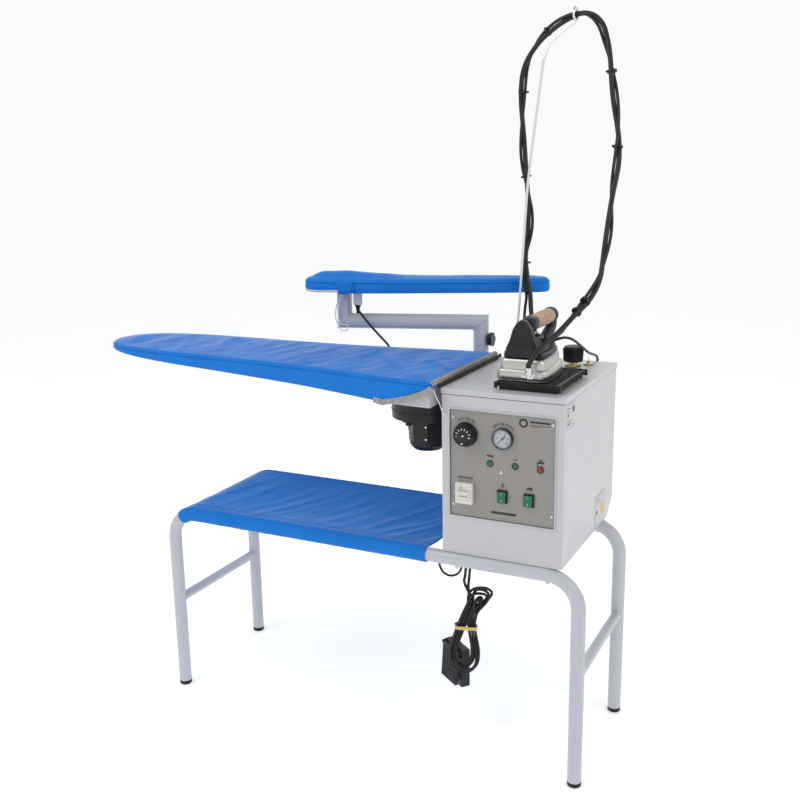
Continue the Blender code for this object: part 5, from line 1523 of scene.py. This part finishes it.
def handle():
    bm = bmesh.new()
    axis = front_at(IRON_X, 0, HANDLE_Z)
    lathe(bm, [(0, -0.058), (0.0165, -0.058), (0.0187, -0.0592), (0.0192, -0.065), (0.0184, -0.072),
               (0.015, -0.078), (0.008, -0.081), (0, -0.0816)], axis, 48)
    lathe(bm, [(0, 0.0645), (0.0165, 0.0645), (0.0186, 0.0658), (0.019, 0.072), (0.0186, 0.086),
               (0.0174, 0.096), (0.014, 0.103), (0, 0.106)], axis, 48)
    for route, wide, low in (
            (((0.066, 1.066), (0.074, 1.054), (0.072, 1.04), (0.056, 1.026), (0.034, 1.016),
              (0.012, 1.008)), (0.0165, 0.015), 0.018),
            (((-0.084, 1.064), (-0.1, 1.06), (-0.111, 1.05), (-0.115, 1.03)), (0.0178, 0.015), 0.013)):
        line = smooth_line([(0, y, z) for y, z in route], 0.003)
        count = len(line)
        radii = []
        for i in range(count):
            share = i / (count - 1)
            radii.append(wide[0] * (1 - share) + low * share if share > 0.5 else
                         wide[0] + (wide[1] - wide[0]) * sin(pi * share) * 0.6)
        arm = bmesh.new()
        sweep(arm, line, radii, 32)
        bmesh.ops.scale(arm, vec=(0.8, 1, 1), verts=arm.verts)
        bmesh.ops.translate(arm, vec=(IRON_X, 0, 0), verts=arm.verts)
        gather(bm, arm)
    slab(bm, [(IRON_X - 0.019, -0.022), (IRON_X + 0.019, -0.022), (IRON_X + 0.016, 0.044), (IRON_X, 0.052),
              (IRON_X - 0.016, 0.044)], 1.0083, 1.013)
    placed("iron_handle_skin", bm, HANDLE_GREY, "iron", replaces=("iron_handle",), smooth=60, bevel=0.0012)


def iron():
    refined("iron_soleplate", bevel=0.0015)
    shell = bmesh.new()
    rings = [(0.006, 0.9482), (0.0, 0.948), (-0.0009, 0.9488), (-0.0009, 0.966), (0.0001, 0.969),
             (0.002, 0.9708), (0.0046, 0.9714), (0.006, 0.972), (0.0062, 0.978), (0.0066, 0.985),
             (0.008, 0.9905), (0.011, 0.9942), (0.0155, 0.996), (0.026, 0.9965)]
    loft(shell, [iron_ring(margin, z) for margin, z in rings])
    placed("iron_cover_skin", shell, "steel", "iron", replaces=("iron_cover",), smooth=60)
    refined("iron_shell", bevel=0.0016, segments=3)
    handle()
    refined("iron_hose_elbow", BRIGHT_METAL, bevel=0.0006)
    refined("steam_button", BRIGHT_METAL, bevel=0.0003)


def cork_grip():
    grip = bmesh.new()
    length = 0.121
    profile = [(0.0084, -length / 2), (0.0158, -length / 2), (0.0172, -length / 2 + 0.004)]
    for i in range(9):
        t = i / 8
        profile.append((0.0172 + 0.0009 * sin(pi * t), -length / 2 + 0.006 + (length - 0.012) * t))
    profile += [(0.0172, length / 2 - 0.004), (0.0158, length / 2), (0.0084, length / 2)]
    lathe(grip, profile, front_at(IRON_X, -0.0035, HANDLE_Z), 56)
    placed("iron_grip_skin", grip, "cork", "iron", replaces=("iron_grip",), smooth=50)


def shield_lines():
    lines = bmesh.new()
    heel = -0.135
    for z in (1.0215, 1.0285):
        block(lines, (IRON_X - 0.0235, heel - 0.0022, z), (IRON_X + 0.0235, heel + 0.001, z + 0.0026))
    for x in (-0.026, 0.026):
        at = front_at(IRON_X + x, heel, 1.026)
        lathe(lines, [(0, 0.0012), (0.0022, 0.0012), (0.0026, 0.003), (0.004, 0.0024), (0.0044, -0.0004),
                      (0, -0.0004)], at, 24)
    loft(lines, [iron_ring(margin, z) for margin, z in
                 ((0.013, 0.9969), (0.011, 0.9972), (0.011, 0.9995), (0.013, 1.0002))])
    placed("iron_shield_lines", lines, HANDLE_GREY, "iron", "black_plastic", bevel=0.0005)


def iron_fittings():
    fittings = bmesh.new()
    for x, y in ((0.385, -0.098), (0.431, -0.098), (IRON_X, 0.048)):
        screw(fittings, x, y, 1.0082, 0.0026, Matrix())
    x, y, z = ELBOW
    cylinder(fittings, (x, -0.1436, z), (x, -0.1478, z), 0.0092, 28)
    cylinder(fittings, (x, y, z + 0.0105), (x, y, z + 0.015), 0.0082, 6)
    block(fittings, (x - 0.016, y - 0.003, z - 0.002), (x - 0.004, y + 0.001, z + 0.002))
    placed("iron_fittings", fittings, BRIGHT_METAL, "iron", "steel", bevel=0.0005)
    nut = bmesh.new()
    cylinder(nut, (x, -0.1475, z), (x, -0.1525, z), 0.0088, 6)
    cylinder(nut, (x, y, z + 0.0145), (x, y, z + 0.02), 0.0076, 24, 0.0068)
    placed("iron_hose_nut", nut, BRIGHT_METAL, "iron", "steel", bevel=0.0006)


def switch_case():
    relief = bmesh.new()
    for p, q in ((Vector((0.421, -0.05, 1.022)), Vector((0.44, -0.05, 1.024))),
                 (Vector((0.421, -0.035, 1.014)), Vector((0.439, -0.035, 1.017)))):
        sweep(relief, [p - (q - p) * 0.12, p.lerp(q, 0.5), q], [0.0062, 0.0054, 0.0044], 18)
    x, y, z = BUTTON
    lathe(relief, [(0.0062, -0.006), (0.0082, -0.006), (0.0082, -0.002), (0.0074, 0.0002), (0.0062, 0.0002)],
          Matrix.Translation((x, y, z)), 28)
    block(relief, (x - 0.0138, y - 0.03, 1.0085), (x + 0.0138, y + 0.01, 1.0235))
    placed("iron_switch_case", relief, "black_plastic", "iron", bevel=0.0012)


def pedal():
    refined("pedal_base", bevel=0.002, segments=3)
    refined("pedal_tread", bevel=0.001)
    centre = Vector((0.2195, -0.062, 0.182))
    turn = Matrix.Translation(centre) @ Matrix.Rotation(radians(-37), 4, "Z")
    axle = Vector((0, -0.0175, 0.044))
    swing = turn @ Matrix.Translation(axle) @ Matrix.Rotation(radians(-4), 4, "X") @ Matrix.Translation(-axle)
    ribs = bmesh.new()
    for i in range(11):
        z = -0.04 + 0.0072 * i
        block(ribs, (-0.032, axle.y - 0.0052, z), (0.032, axle.y - 0.0038, z + 0.003), swing)
    placed("tread_ribs", ribs, "black_rubber", "pedal", bevel=0.0005)


def remaining():
    """Every CAD node that still shows gets its procedural material."""
    for name, node in NODES.items():
        if not node.hide_render:
            node.data.materials.clear()
            node.data.materials.append(MATERIALS[SLOT[name]])


for build in (camera, studio, hoses, pedal_lead, hank_band, stand, sling, cabinet, blank_plates, icons,
              thermostat, gauge, rockers, lamps, breaker, lid_fittings, ironing_board, fan, sleeve_board,
              sleeve_fold, arm_welds, plug_and_draw_cord, rest, iron, cork_grip, shield_lines, iron_fittings,
              switch_case, pedal, remaining):
    build()
